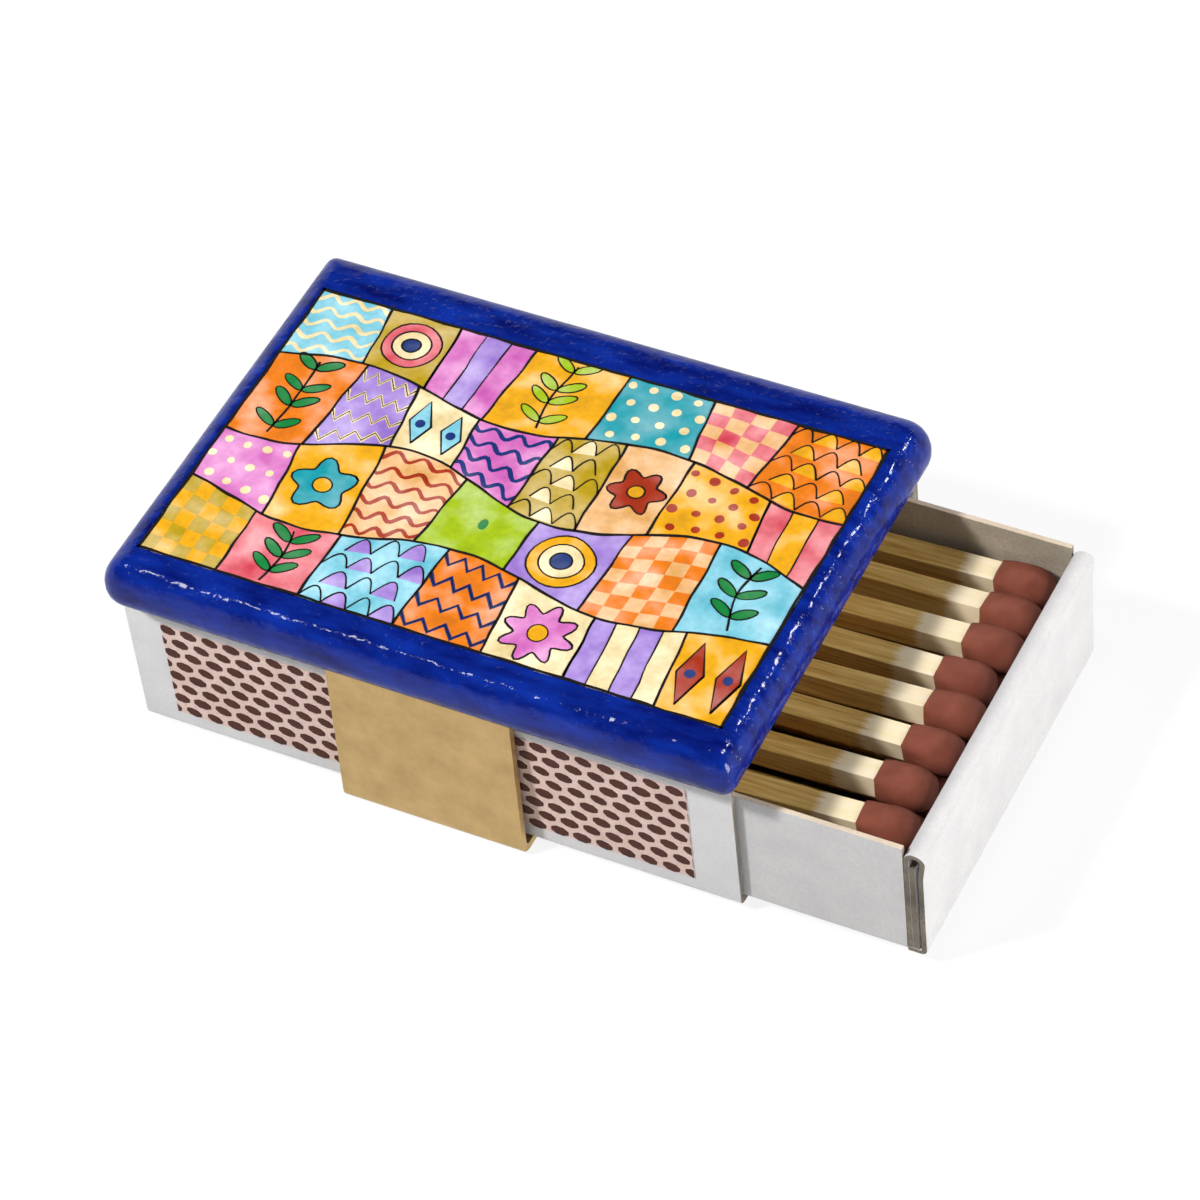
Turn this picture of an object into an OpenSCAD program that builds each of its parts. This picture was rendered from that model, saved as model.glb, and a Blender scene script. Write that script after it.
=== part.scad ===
// Matchbox holder: a painted board with a sprung brass clip that grips a card matchbox.
// X runs along the matchbox, +X is the way the drawer opens, -Y is the front, Z is up.
// Z = 0 is the underside of the clip, which the holder stands on.

/* [Sleeve] */
// Length of the matchbox
sleeve_l = 53; // [51:0.5:66]
// Outside width of the sleeve
sleeve_w = 35; // [28:0.5:44]
// Outside height of the sleeve
sleeve_h = 14.3; // [13.5:0.1:20]
// Thickness of the sleeve's card
sleeve_card = 0.4; // [0.3:0.05:0.6]
// Outside radius of the sleeve's folds
sleeve_fold_r = 0.7; // [0.6:0.05:1.2]
// How far the glue flap inside the back wall stops short of the floor
flap_short = 2.5; // [1:0.5:8]

/* [Board] */
// How far the board reaches past each end of the matchbox
board_over_ends = 1; // [0:0.1:8]
// How far the board reaches past each side of the matchbox
board_over_sides = 2.3; // [1.3:0.1:8]
// How far the matchbox sits off the board's middle, away from the end that the drawer leaves by
box_shift = 0.25; // [0:0.05:0.7]
// Thickness of the board
board_t = 4; // [3.3:0.1:8]
// Radius of the rolled edge round the top
board_top_r = 2.4; // [1:0.1:2.6]
// Radius of the rolled edge round the bottom
board_bottom_r = 1.4; // [0.5:0.1:2]
// Radius of the board's corners seen from above
board_corner_r = 2.6; // [2.6:0.1:6]

/* [Picture] */
// Blue border at each end of the picture
border_ends = 2.2; // [2.1:0.1:10]
// Blue border in front of the picture
border_front = 3.6; // [2.1:0.1:10]
// Blue border behind the picture
border_back = 4.8; // [2.1:0.1:10]
// Thickness of the glued picture
picture_t = 0.2; // [0.1:0.05:0.4]

/* [Clip] */
// Width of the brass strip, along the matchbox
clip_w = 16; // [10:0.5:30]
// Thickness of the brass sheet
sheet_t = 0.7; // [0.4:0.05:1]
// Inside radius of the sheet's bends
bend_r = 0.5; // [0.3:0.1:1]
// How far each leg leans out at its foot
clip_flare = 0.5; // [0:0.1:1]
// Length of the lip under the matchbox, past the bend
lip_l = 5.5; // [3:0.5:12]
// Corner radius of the lip's free end
lip_corner_r = 1.5; // [0.5:0.1:2]
// Gap between the clip and the sleeve's top and bottom
clip_gap = 0.1; // [0.05:0.01:0.3]
// Gap between the clip and the sleeve's sides at the top
clip_side_gap = 0.2; // [0.15:0.01:0.5]

/* [Screws] */
// Shank diameter of the clip screws
screw_d = 1.5; // [1.2:0.1:1.8]
// Head diameter of the clip screws
screw_head_d = 2.8; // [2.4:0.1:2.8]
// How deep a screw goes into the board
screw_grip = 2.5; // [1.8:0.1:2.8]
// Distance between the two screws
screw_spacing = 18; // [10:1:22]
// Clearance round a screw
screw_gap = 0.04; // [0.02:0.01:0.1]

/* [Striker] */
// Bare card between a striker strip and the end that the drawer leaves by
striker_margin_out = 3.9; // [1:0.1:8]
// Bare card between a striker strip and the other end
striker_margin_in = 3.2; // [1:0.1:8]
// Bare card under a striker strip
striker_low = 1.8; // [1:0.1:4]
// Bare card over a striker strip
striker_high = 2.1; // [1:0.1:4]
// Thickness of a striker strip
striker_t = 0.1; // [0.05:0.01:0.15]

/* [Tray] */
// How far the tray is drawn out at rest
tray_open = 15.3; // [0:0.1:30]
// Thickness of the tray's card
tray_card = 0.45; // [0.3:0.05:0.6]
// Gap on each side of the tray in the sleeve
tray_side_gap = 0.2; // [0.1:0.01:0.5]
// Gap between the tray's floor and the sleeve's floor
tray_gap = 0.1; // [0.05:0.01:0.2]
// Gap over the tray's side walls in the sleeve
tray_top_gap = 1.4; // [0.5:0.1:2]
// How much lower the rolled end walls are than the side walls
end_drop = 0.4; // [0:0.1:2]
// Gap between the two layers of an end wall
end_slot = 0.7; // [0.65:0.05:1]
// How far the rolled top of an end wall bulges past its face
roll_bulge = 0.2; // [0:0.05:0.4]
// Length of the corner tabs tucked into an end wall
tab_l = 12; // [6:0.5:13]

/* [Matches] */
// Length of a match over its head
match_l = 45; // [38:0.5:46]
// Side of the square stick
stick = 2.1; // [1.8:0.05:2.3]
// Largest diameter of a head
head_d = 3.4; // [3.3:0.1:4.2]
// Length of a head
head_l = 4.6; // [4.4:0.1:6]
// How far a head covers past the stick's end
head_cap = 1.2; // [0.8:0.1:1.6]
// Clearance of a match over the tray's floor
match_gap = 0.05; // [0.02:0.01:0.1]
// Space left in front of the top layer
front_space = 2.3; // [0.5:0.1:4]

/* [Hidden] */
$fn = 64;
ARC_STEPS = 10; // flats in each arc of an outline
SLIP = 0.01; // how far a cutter runs past the face it opens

// Heights, from the table up
sleeve_z = sheet_t + clip_gap;
web_z = sleeve_z + sleeve_h + clip_gap;
board_z = web_z + sheet_t;
board_top = board_z + board_t;
tray_z = sleeve_z + sleeve_card + tray_gap;
tray_floor = tray_z + tray_card;

// The board follows the matchbox, and its rolled edges are limited by its thickness
board_l = sleeve_l + 2 * board_over_ends;
board_w = sleeve_w + 2 * board_over_sides;
top_r = min(board_top_r, 0.6 * board_t);
bottom_r = min(board_bottom_r, board_t - top_r - 0.1);
picture_l = board_l - 2 * border_ends;
picture_w = board_w - border_front - border_back;
picture_y = (border_front - border_back) / 2;

screw_head_h = (screw_head_d - screw_d) / 2;
screw_l = sheet_t + screw_grip;

flap_h = sleeve_h - 2 * sleeve_card - flap_short;
striker_l = sleeve_l - striker_margin_out - striker_margin_in;
striker_h = sleeve_h - striker_low - striker_high;
striker_x = (striker_margin_in - striker_margin_out) / 2;

// The flap takes its thickness from one side, so the tray's middle lies half of that forward
tray_w = sleeve_w - 3 * sleeve_card - 2 * tray_side_gap;
tray_y = -sleeve_card / 2;
tray_h = sleeve_h - 2 * sleeve_card - tray_gap - tray_top_gap;
end_h = tray_h - end_drop;
end_x = sleeve_l / 2;
end_t = 2 * tray_card + end_slot;
roll_r = (end_t + roll_bulge) / 2;
// The footprint's middle with the tray drawn out, which is the part's own origin
footprint_x = (tray_open + end_x + roll_bulge - box_shift - board_l / 2) / 2;

// Matches that fit side by side, the step from one to the next, and the room to spare in a step
reach = tray_w / 2 - tray_card - head_d / 2 - match_gap;
head_room = 0.35;
MATCHES = 1 + floor((2 * reach - front_space) / (head_d + head_room));
head_pitch = (2 * reach - front_space) / (MATCHES - 1);
slack = head_pitch - head_d - match_gap;
// How far each match of the top layer strays from its even place, in slacks, and never past the last
stray = [0, 1.1, 1.9, 2.2, 1.2, 1.6, 0.8, 0];
// How far each stops short of the end wall
short_by = [0.8, 1.2, 0.7, 0.6, 1.2, 0.6, 0.6, 0.9];
// Turn of each stick of the top layer seen from above, and about its own length
yaw = [1.2, 0.6, -0.4, 0.5, -0.6, 0.3, -0.4, 0.2];
most_roll = 7;
roll = most_roll * [0.6, -0.4, 1, -0.9, 0.7, 0.3, -1, 0.4];
top_y = [for (i = [0 : MATCHES - 1])
    front_space - reach + i * head_pitch + slack * min(stray[i % len(stray)], MATCHES - 1 - i)];
// The middle layer lies in the hollows of the top one, and one match more goes in front where it fits
hollow_y = [for (i = [1 : MATCHES - 1]) (top_y[i - 1] + top_y[i]) / 2];
middle_y = front_space < head_pitch / 2 ? hollow_y : concat([top_y[0] - head_pitch / 2], hollow_y);
// Heads nest three to a triangle, and sticks lie flat on the sticks below
head_layer = (head_d + match_gap) * sqrt(3) / 2;
tail_layer = stick * (cos(most_roll) + sin(most_roll)) + match_gap;

STICKS = [for (i = [1 : MATCHES]) str("match_stick_", i)];
HEADS = [for (i = [1 : MATCHES]) str("match_head_", i)];

// Points of an arc about a centre, from angle a0 to a1
function arc(centre, r, a0, a1) =
    [for (i = [0 : ARC_STEPS]) let (a = a0 + (a1 - a0) * i / ARC_STEPS) centre + r * [cos(a), sin(a)]];

// A rectangle with rounded corners, centred
module rounded_rectangle(l, w, r) {
    square([l - 2 * r, w], center = true);
    square([l, w - 2 * r], center = true);
    for (x = [-1, 1], y = [-1, 1])
        translate([x * (l / 2 - r), y * (w / 2 - r)]) circle(r);
}

// Section of the board's rolled edge, from the corner's centre out
module edge_section() {
    square([board_corner_r - top_r, board_t]);
    translate([0, bottom_r]) square([board_corner_r, board_t - top_r - bottom_r]);
    square([board_corner_r - bottom_r, board_t - top_r]);
    translate([board_corner_r - top_r, board_t - top_r]) circle(top_r);
    translate([board_corner_r - bottom_r, bottom_r]) circle(bottom_r);
}

// The half of the edge section that lies outside the corner's centre
module outer_edge_section() {
    intersection() {
        edge_section();
        square([board_corner_r, board_t]);
    }
}

// The board's outline: four rolled corners, four rolled edges and the slab between them
module board_blank() {
    straight_l = board_l - 2 * board_corner_r;
    straight_w = board_w - 2 * board_corner_r;
    translate([-straight_l / 2, -straight_w / 2, 0]) cube([straight_l, straight_w, board_t]);
    for (side = [0 : 3]) {
        along = side % 2 == 0 ? straight_w : straight_l;
        out = side % 2 == 0 ? straight_l : straight_w;
        rotate([0, 0, side * 90]) translate([out / 2, 0, 0]) {
            translate([0, along / 2, 0]) rotate([90, 0, 0]) linear_extrude(along) outer_edge_section();
            translate([0, along / 2, 0]) rotate_extrude(angle = 90) outer_edge_section();
        }
    }
}

module board() {
    color("mediumblue") difference() {
        translate([0, 0, board_z]) board_blank();
        translate([0, picture_y, board_top - picture_t])
            linear_extrude(picture_t + SLIP) square([picture_l + SLIP, picture_w + SLIP], center = true);
        for (y = [-1, 1])
            translate([0, y * screw_spacing / 2, board_z - SLIP])
                cylinder(d = screw_d + 2 * screw_gap, h = screw_grip + screw_gap + SLIP);
    }
}

module picture_panel() {
    color("goldenrod")
        translate([0, picture_y, board_top - picture_t])
            linear_extrude(picture_t) square([picture_l, picture_w], center = true);
}

// Half of the clip's section in Y and Z, from the web's middle round to the lip and back
function clip_half_outline() =
    let (
        top_in = sleeve_w / 2 + clip_side_gap,
        foot_in = top_in + clip_flare,
        outer_r = bend_r + sheet_t,
        top_c = [top_in - bend_r, web_z - bend_r],
        foot_c = [foot_in - bend_r, sheet_t + bend_r],
        lean = atan2(foot_c[0] - top_c[0], top_c[1] - foot_c[1])
    )
    concat(
        arc(top_c, outer_r, 90, lean),
        arc(foot_c, outer_r, lean, -90),
        [[foot_c[0] - lip_l, 0], [foot_c[0] - lip_l, sheet_t]],
        arc(foot_c, bend_r, -90, lean),
        arc(top_c, bend_r, lean, 90)
    );

// The whole section: that half, and its mirror image walked back the other way
module clip_section() {
    half = clip_half_outline();
    polygon(concat(half, [for (i = [len(half) - 1 : -1 : 0]) [-half[i][0], half[i][1]]]));
}

// What is cut away at a lip's free end to round its two corners
module lip_corner_cutter() {
    lip_end = sleeve_w / 2 + clip_side_gap + clip_flare - bend_r - lip_l;
    for (x = [-1, 1])
        translate([x * (clip_w / 2 - lip_corner_r), lip_end + lip_corner_r, -SLIP])
            difference() {
                translate([x > 0 ? 0 : -2 * lip_corner_r, -2 * lip_corner_r, 0])
                    cube([2 * lip_corner_r, 2 * lip_corner_r, sheet_t + 2 * SLIP]);
                translate([0, 0, -SLIP]) cylinder(r = lip_corner_r, h = sheet_t + 4 * SLIP);
            }
}

module spring_clip() {
    color("darkkhaki") difference() {
        rotate([90, 0, 90])
            translate([0, 0, -clip_w / 2]) linear_extrude(clip_w) clip_section();
        lip_corner_cutter();
        mirror([0, 1, 0]) lip_corner_cutter();
        for (y = [-1, 1])
            translate([0, y * screw_spacing / 2, web_z]) {
                translate([0, 0, -SLIP]) cylinder(d = screw_d + 2 * screw_gap, h = sheet_t + 2 * SLIP);
                translate([0, 0, -SLIP])
                    cylinder(
                        d1 = screw_head_d + 2 * (screw_gap + SLIP),
                        d2 = screw_d + 2 * screw_gap,
                        h = screw_head_h + SLIP
                    );
            }
    }
}

// One countersunk screw, head down at the origin, with a driver slot and a blunt point
module clip_screw() {
    slot_w = 0.35;
    slot_depth = 0.3;
    point_h = 0.5;
    difference() {
        union() {
            cylinder(d1 = screw_head_d, d2 = screw_d, h = screw_head_h);
            cylinder(d = screw_d, h = screw_l - point_h);
            translate([0, 0, screw_l - point_h]) cylinder(d1 = screw_d, d2 = screw_d / 3, h = point_h);
        }
        translate([-screw_head_d, -slot_w / 2, -SLIP]) cube([2 * screw_head_d, slot_w, slot_depth + SLIP]);
    }
}

module clip_screws() {
    color("gold")
        for (y = [-1, 1])
            translate([0, y * screw_spacing / 2, web_z]) clip_screw();
}

// Section of the folded sleeve in Y and Z, with its glue flap lapped inside the back wall
module sleeve_section() {
    difference() {
        rounded_rectangle(sleeve_w, sleeve_h, sleeve_fold_r);
        rounded_rectangle(
            sleeve_w - 2 * sleeve_card,
            sleeve_h - 2 * sleeve_card,
            sleeve_fold_r - sleeve_card
        );
    }
    translate([sleeve_w / 2 - 2 * sleeve_card, sleeve_h / 2 - sleeve_card - flap_h])
        square([sleeve_card + SLIP, flap_h + SLIP]);
}

module sleeve() {
    color("white")
        translate([-sleeve_l / 2, 0, sleeve_z + sleeve_h / 2])
            rotate([90, 0, 90]) linear_extrude(sleeve_l) sleeve_section();
}

// A friction strip with slightly rounded corners, on the sleeve's side at +Y or -Y
module striker(side) {
    strip_corner_r = 0.3;
    color("rosybrown")
        translate([striker_x, side * (sleeve_w + striker_t) / 2, sleeve_z + striker_low + striker_h / 2])
            rotate([90, 0, 0])
                linear_extrude(striker_t, center = true)
                    rounded_rectangle(striker_l, striker_h, strip_corner_r);
}

// Section of a doubled end wall in X and Z: outer layer, rolled top and inner layer, foot at the origin
module end_wall_section() {
    roll_c = [roll_bulge - roll_r, end_h - roll_r];
    neck_z = roll_c[1];
    translate([-tray_card, 0]) square([tray_card, neck_z]);
    translate([-end_t, 0]) square([tray_card, neck_z]);
    difference() {
        translate(roll_c) circle(roll_r);
        translate(roll_c) circle(roll_r - tray_card);
        translate([-end_t + tray_card, 0]) square([end_slot, neck_z]);
    }
}

// One end of the tray: the doubled wall across it and the corner tabs tucked into the slot
module tray_end() {
    tab_drop = 2.5;
    tab_h = end_h - 2 * roll_r - tray_card;
    translate([end_x, tray_w / 2, tray_z])
        rotate([90, 0, 0]) linear_extrude(tray_w) end_wall_section();
    for (side = [-1, 1])
        translate([end_x - end_t + tray_card - SLIP, 0, tray_floor])
            rotate([90, 0, 90])
                linear_extrude(tray_card + SLIP)
                    polygon([
                        [side * (tray_w / 2 - tray_card), 0],
                        [side * (tray_w / 2 - tray_card), tab_h],
                        [side * (tray_w / 2 - tab_l), tab_h - tab_drop],
                        [side * (tray_w / 2 - tab_l), 0]
                    ]);
}

module tray() {
    wall_l = sleeve_l - 2 * end_t;
    color("gainsboro") translate([tray_open, tray_y, 0]) {
        translate([-sleeve_l / 2, -tray_w / 2, tray_z]) cube([sleeve_l, tray_w, tray_card]);
        for (side = [-1, 1])
            translate([-wall_l / 2 - SLIP, side * (tray_w - tray_card) / 2 - tray_card / 2, tray_z])
                cube([wall_l + 2 * SLIP, tray_card, tray_h]);
        tray_end();
        mirror([1, 0, 0]) tray_end();
    }
}

// A stick lying along X with its head end at the origin
module match_stick() {
    translate([-match_l, -stick / 2, -stick / 2]) cube([match_l - head_cap, stick, stick]);
}

// The dipped head: round at the tip, narrowing to the stick, with the stick's socket in it
module match_head() {
    neck_r = stick / sqrt(2) + 0.04;
    difference() {
        intersection() {
            union() {
                translate([-head_d / 2, 0, 0]) sphere(d = head_d);
                translate([-head_l, 0, 0]) rotate([0, 90, 0])
                    cylinder(r1 = neck_r, r2 = head_d / 2, h = head_l - head_d / 2);
            }
            translate([-head_l, -head_d, -head_d]) cube([head_l, 2 * head_d, 2 * head_d]);
        }
        translate([-head_l - SLIP, -stick / 2, -stick / 2]) cube([head_l - head_cap + SLIP, stick, stick]);
    }
}

// Puts a match in its layer: the head lies on the layer below, and so does the stick's other end
module in_layer(layer, y, back, turn, spin) {
    head_z = tray_floor + match_gap + head_d / 2 + layer * head_layer;
    tail_z = tray_floor + match_gap + stick / 2 + layer * tail_layer;
    dip = asin((head_z - tail_z) / (match_l - head_d / 2));
    translate([tray_open + end_x - end_t - back - head_d / 2, tray_y + y, head_z])
        rotate([0, -dip, turn])
            rotate([spin, 0, 0])
                translate([head_d / 2, 0, 0]) children();
}

// Match number i of the top layer
module top_match(i) {
    n = i % len(stray);
    in_layer(2, top_y[i], short_by[n], yaw[n], roll[n]) children();
}

// A layer of straight matches under the top one
module hidden_layer(layer, places) {
    for (i = [0 : len(places) - 1]) in_layer(layer, places[i], short_by[i % len(stray)], 0, 0) children();
}

// The holder's sub-parts are drawn about the board's middle, and moved to the footprint's middle here
module holder() translate([-footprint_x, 0, 0]) children();

// The matchbox's sub-parts are drawn about the sleeve's middle, and moved with it
module matchbox() translate([-footprint_x - box_shift, 0, 0]) children();

holder() board();
holder() picture_panel();
holder() spring_clip();
holder() clip_screws();
matchbox() sleeve();
matchbox() striker(-1);  // striker_front
matchbox() striker(1);  // striker_back
matchbox() tray();
for (i = [0 : MATCHES - 1]) {
    matchbox() color("burlywood") top_match(i) match_stick();
    matchbox() color("indianred") top_match(i) match_head();
}
matchbox() color("burlywood") hidden_layer(1, middle_y) match_stick();  // middle_sticks
matchbox() color("indianred") hidden_layer(1, middle_y) match_head();  // middle_heads
matchbox() color("burlywood") hidden_layer(0, top_y) match_stick();  // bottom_sticks
matchbox() color("indianred") hidden_layer(0, top_y) match_head();  // bottom_heads
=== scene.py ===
# Looks of a matchbox holder: a lacquered picture board on a sprung brass clip that grips a card matchbox.
# Everything is in metres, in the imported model's own frame: +X is the way the drawer opens, -Y is the front.
import math
import random
import bmesh
import bpy
import numpy as np
from mathutils import Matrix, Vector, noise


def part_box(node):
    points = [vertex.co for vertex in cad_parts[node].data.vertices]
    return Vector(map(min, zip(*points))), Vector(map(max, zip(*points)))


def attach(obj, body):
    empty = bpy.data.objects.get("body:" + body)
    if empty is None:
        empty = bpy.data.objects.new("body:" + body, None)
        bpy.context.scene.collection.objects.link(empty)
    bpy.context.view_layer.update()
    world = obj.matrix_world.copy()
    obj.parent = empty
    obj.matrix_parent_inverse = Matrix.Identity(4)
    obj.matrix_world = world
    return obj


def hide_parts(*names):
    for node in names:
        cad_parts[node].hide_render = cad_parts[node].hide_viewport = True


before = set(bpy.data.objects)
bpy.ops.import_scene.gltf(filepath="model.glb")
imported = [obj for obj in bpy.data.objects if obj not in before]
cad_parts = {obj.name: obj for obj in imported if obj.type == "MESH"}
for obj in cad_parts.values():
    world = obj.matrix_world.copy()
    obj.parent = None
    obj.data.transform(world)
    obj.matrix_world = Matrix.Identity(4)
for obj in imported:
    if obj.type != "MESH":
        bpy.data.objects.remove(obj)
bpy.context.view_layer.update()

MM = 0.001


# Camera: a long lens looking down on the front right corner, turned a few degrees about its own axis.
# Its place was worked out from the straight edges of the matchbox and the board in the photograph.
camera_azimuth, camera_elevation, camera_roll = (math.radians(a) for a in (31.2, 47.16, -7.0))
camera_distance = 404.9 * MM
camera_slide = Vector((5.62, 3.79)) * MM
camera_data = bpy.data.cameras.new("camera")
camera_data.sensor_width = 36
camera_data.lens = 150
camera = bpy.data.objects.new("camera", camera_data)
bpy.context.scene.collection.objects.link(camera)
sleeve_lo, sleeve_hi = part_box("sleeve")
aim = Vector(((sleeve_lo.x + sleeve_hi.x) / 2, 0, sleeve_lo.z))
back = Vector((
    math.sin(camera_azimuth) * math.cos(camera_elevation),
    -math.cos(camera_azimuth) * math.cos(camera_elevation),
    math.sin(camera_elevation),
))
level = Vector((0, 0, 1)).cross(back).normalized()
upright = back.cross(level)
eye = aim + back * camera_distance + level * camera_slide.x + upright * camera_slide.y
side = level * math.cos(camera_roll) + upright * math.sin(camera_roll)
top = upright * math.cos(camera_roll) - level * math.sin(camera_roll)
camera.matrix_world = Matrix.Translation(eye) @ Matrix((side, top, back)).transposed().to_4x4()
camera_data.clip_start = 0.01
camera_data.clip_end = 20
bpy.context.scene.camera = camera
bpy.context.scene.view_settings.view_transform = "Standard"


# Stage: a matt white table and a white surround under a dark ceiling, which also show in metal and lacquer.
# The table is lifted to white for the camera and for mirrored rays only, and keeps the soft shadow.
def srgb(colour):
    """Linear red, green, blue and alpha of an sRGB hex colour."""
    parts = [int(colour[i:i + 2], 16) / 255 for i in (1, 3, 5)]
    return [c / 12.92 if c <= 0.04045 else ((c + 0.055) / 1.055) ** 2.4 for c in parts] + [1]


def add(tree, kind, inputs=None, **settings):
    """Adds a node to a tree, with its settings, and with values or other nodes' sockets for its inputs."""
    made = tree.nodes.new(kind)
    for key, value in settings.items():
        setattr(made, key, value)
    for key, value in (inputs or {}).items():
        if isinstance(value, bpy.types.NodeSocket):
            tree.links.new(value, made.inputs[key])
        else:
            made.inputs[key].default_value = value
    return made


def new_material(name):
    """An empty node material, its tree and its output node."""
    material = bpy.data.materials.new(name)
    material.use_nodes = True
    material.node_tree.nodes.clear()
    return material, material.node_tree, add(material.node_tree, "ShaderNodeOutputMaterial")


def new_piece(name, mesh, materials):
    """An object at the origin that holds a mesh in the model's frame."""
    piece = bpy.data.objects.new(name, mesh)
    bpy.context.scene.collection.objects.link(piece)
    for material in materials:
        mesh.materials.append(material)
    return piece


table_half = 3.0
table_mesh = bpy.data.meshes.new("table")
table_mesh.from_pydata(
    [(x * table_half, y * table_half, -0.01 * MM) for x, y in ((-1, -1), (1, -1), (1, 1), (-1, 1))],
    [],
    [(0, 1, 2, 3)],
)
table_paint, tree, output = new_material("matt_white_table")
ray = add(tree, "ShaderNodeLightPath")
matt = add(tree, "ShaderNodeBsdfDiffuse", {"Color": srgb("#cccccc")})
shaded = add(tree, "ShaderNodeBsdfDiffuse", {"Color": srgb("#6a6a6a")})
lift = add(tree, "ShaderNodeEmission", {"Color": srgb("#ffffff"), "Strength": 0.86})
both = add(tree, "ShaderNodeAddShader", {0: shaded.outputs[0], 1: lift.outputs[0]})
seen = add(tree, "ShaderNodeMath", {0: ray.outputs["Is Camera Ray"], 1: ray.outputs["Is Glossy Ray"]},
           operation="MAXIMUM")
mixed = add(tree, "ShaderNodeMixShader", {0: seen.outputs[0], 1: matt.outputs[0], 2: both.outputs[0]})
tree.links.new(mixed.outputs[0], output.inputs["Surface"])
table = new_piece("table", table_mesh, [table_paint])

world = bpy.data.worlds.new("white_surround")
bpy.context.scene.world = world
world.use_nodes = True
world.node_tree.nodes.clear()
tree = world.node_tree
output = add(tree, "ShaderNodeOutputWorld")
ray = add(tree, "ShaderNodeLightPath")
towards = add(tree, "ShaderNodeTexCoord")
height = add(tree, "ShaderNodeSeparateXYZ", {0: towards.outputs["Generated"]})
ceiling = add(tree, "ShaderNodeValToRGB", {"Fac": height.outputs[2]})
ceiling.color_ramp.elements[0].position = 0.25
ceiling.color_ramp.elements[0].color = srgb("#ffffff")
ceiling.color_ramp.elements[1].position = 0.58
ceiling.color_ramp.elements[1].color = srgb("#2a2a2c")
white = add(tree, "ShaderNodeBackground", {"Color": srgb("#ffffff"), "Strength": 1.0})
mirrored = add(tree, "ShaderNodeBackground", {"Color": ceiling.outputs["Color"], "Strength": 1.0})
room = add(tree, "ShaderNodeBackground", {"Color": srgb("#ffffff"), "Strength": 0.07})
mixed = add(tree, "ShaderNodeMixShader",
            {0: ray.outputs["Is Glossy Ray"], 1: room.outputs[0], 2: mirrored.outputs[0]})
mixed = add(tree, "ShaderNodeMixShader",
            {0: ray.outputs["Is Camera Ray"], 1: mixed.outputs[0], 2: white.outputs[0]})
tree.links.new(mixed.outputs[0], output.inputs["Surface"])


# Lamps: a soft box high at the front left, which throws the board's shadow into the drawer, a broad low one
# at the right that whitens the drawer's end, a weak one behind, and a small one for glints in the lacquer.
def soft_box(name, direction, distance, size, power, mirrored=True):
    """A square area lamp that looks at the object from that direction, and may show in gloss or not."""
    data = bpy.data.lights.new(name, "AREA")
    data.size = size
    data.energy = power
    lamp = bpy.data.objects.new(name, data)
    bpy.context.scene.collection.objects.link(lamp)
    towards = Vector(direction).normalized()
    lamp.location = towards * distance
    lamp.rotation_mode = "QUATERNION"
    lamp.rotation_quaternion = towards.to_track_quat("Z", "Y")
    lamp.visible_glossy = mirrored


soft_box("key_lamp", (-0.57, -0.6, 1.0), 0.6, 0.06, 3.45, mirrored=False)
soft_box("right_lamp", (1.0, 0.02, 0.35), 0.6, 0.3, 3.6)
soft_box("back_lamp", (-0.45, 0.9, 0.45), 0.7, 0.4, 0.9, mirrored=False)
soft_box("right_glint_lamp", (0.4, 0.58, 0.71), 0.6, 0.05, 0.3)
soft_box("left_glint_lamp", (-0.42, -0.12, 0.9), 0.6, 0.05, 0.2)


# Sleeve: one sheet of coated white card, folded round and glued with a flap lapped inside the back wall.
# Its two mouths are cut, so the grey core of the card shows there.
def rounded_path(corners, radius, steps=5, closed=False):
    """A path of 2D points through the corners, each bend an arc of that radius."""
    path = []
    count = len(corners)
    for i, corner in enumerate(corners):
        here = Vector(corner)
        if not closed and i in (0, count - 1):
            path.append(here)
            continue
        before = (Vector(corners[i - 1]) - here).normalized()
        after = (Vector(corners[(i + 1) % count]) - here).normalized()
        half = before.angle(after) / 2
        centre = here + (before + after).normalized() * radius / math.sin(half)
        start = here + before * radius / math.tan(half) - centre
        end = here + after * radius / math.tan(half) - centre
        for step in range(steps + 1):
            swing = start.normalized().slerp(end.normalized(), step / steps)
            path.append(centre + swing * radius)
    return path


def two_sides(path, thickness, closed=False):
    """The path moved half a thickness to its left and to its right."""
    sides = ([], [])
    for i, point in enumerate(path):
        before = path[i - 1] if i or closed else point
        after = path[(i + 1) % len(path)] if i < len(path) - 1 or closed else point
        if (point - before).length < 1e-9:
            along = after - point
        elif (after - point).length < 1e-9:
            along = point - before
        else:
            along = (point - before).normalized() + (after - point).normalized()
        left = Vector((-along.y, along.x)).normalized() * thickness / 2
        sides[0].append(point + left)
        sides[1].append(point - left)
    return sides


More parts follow.
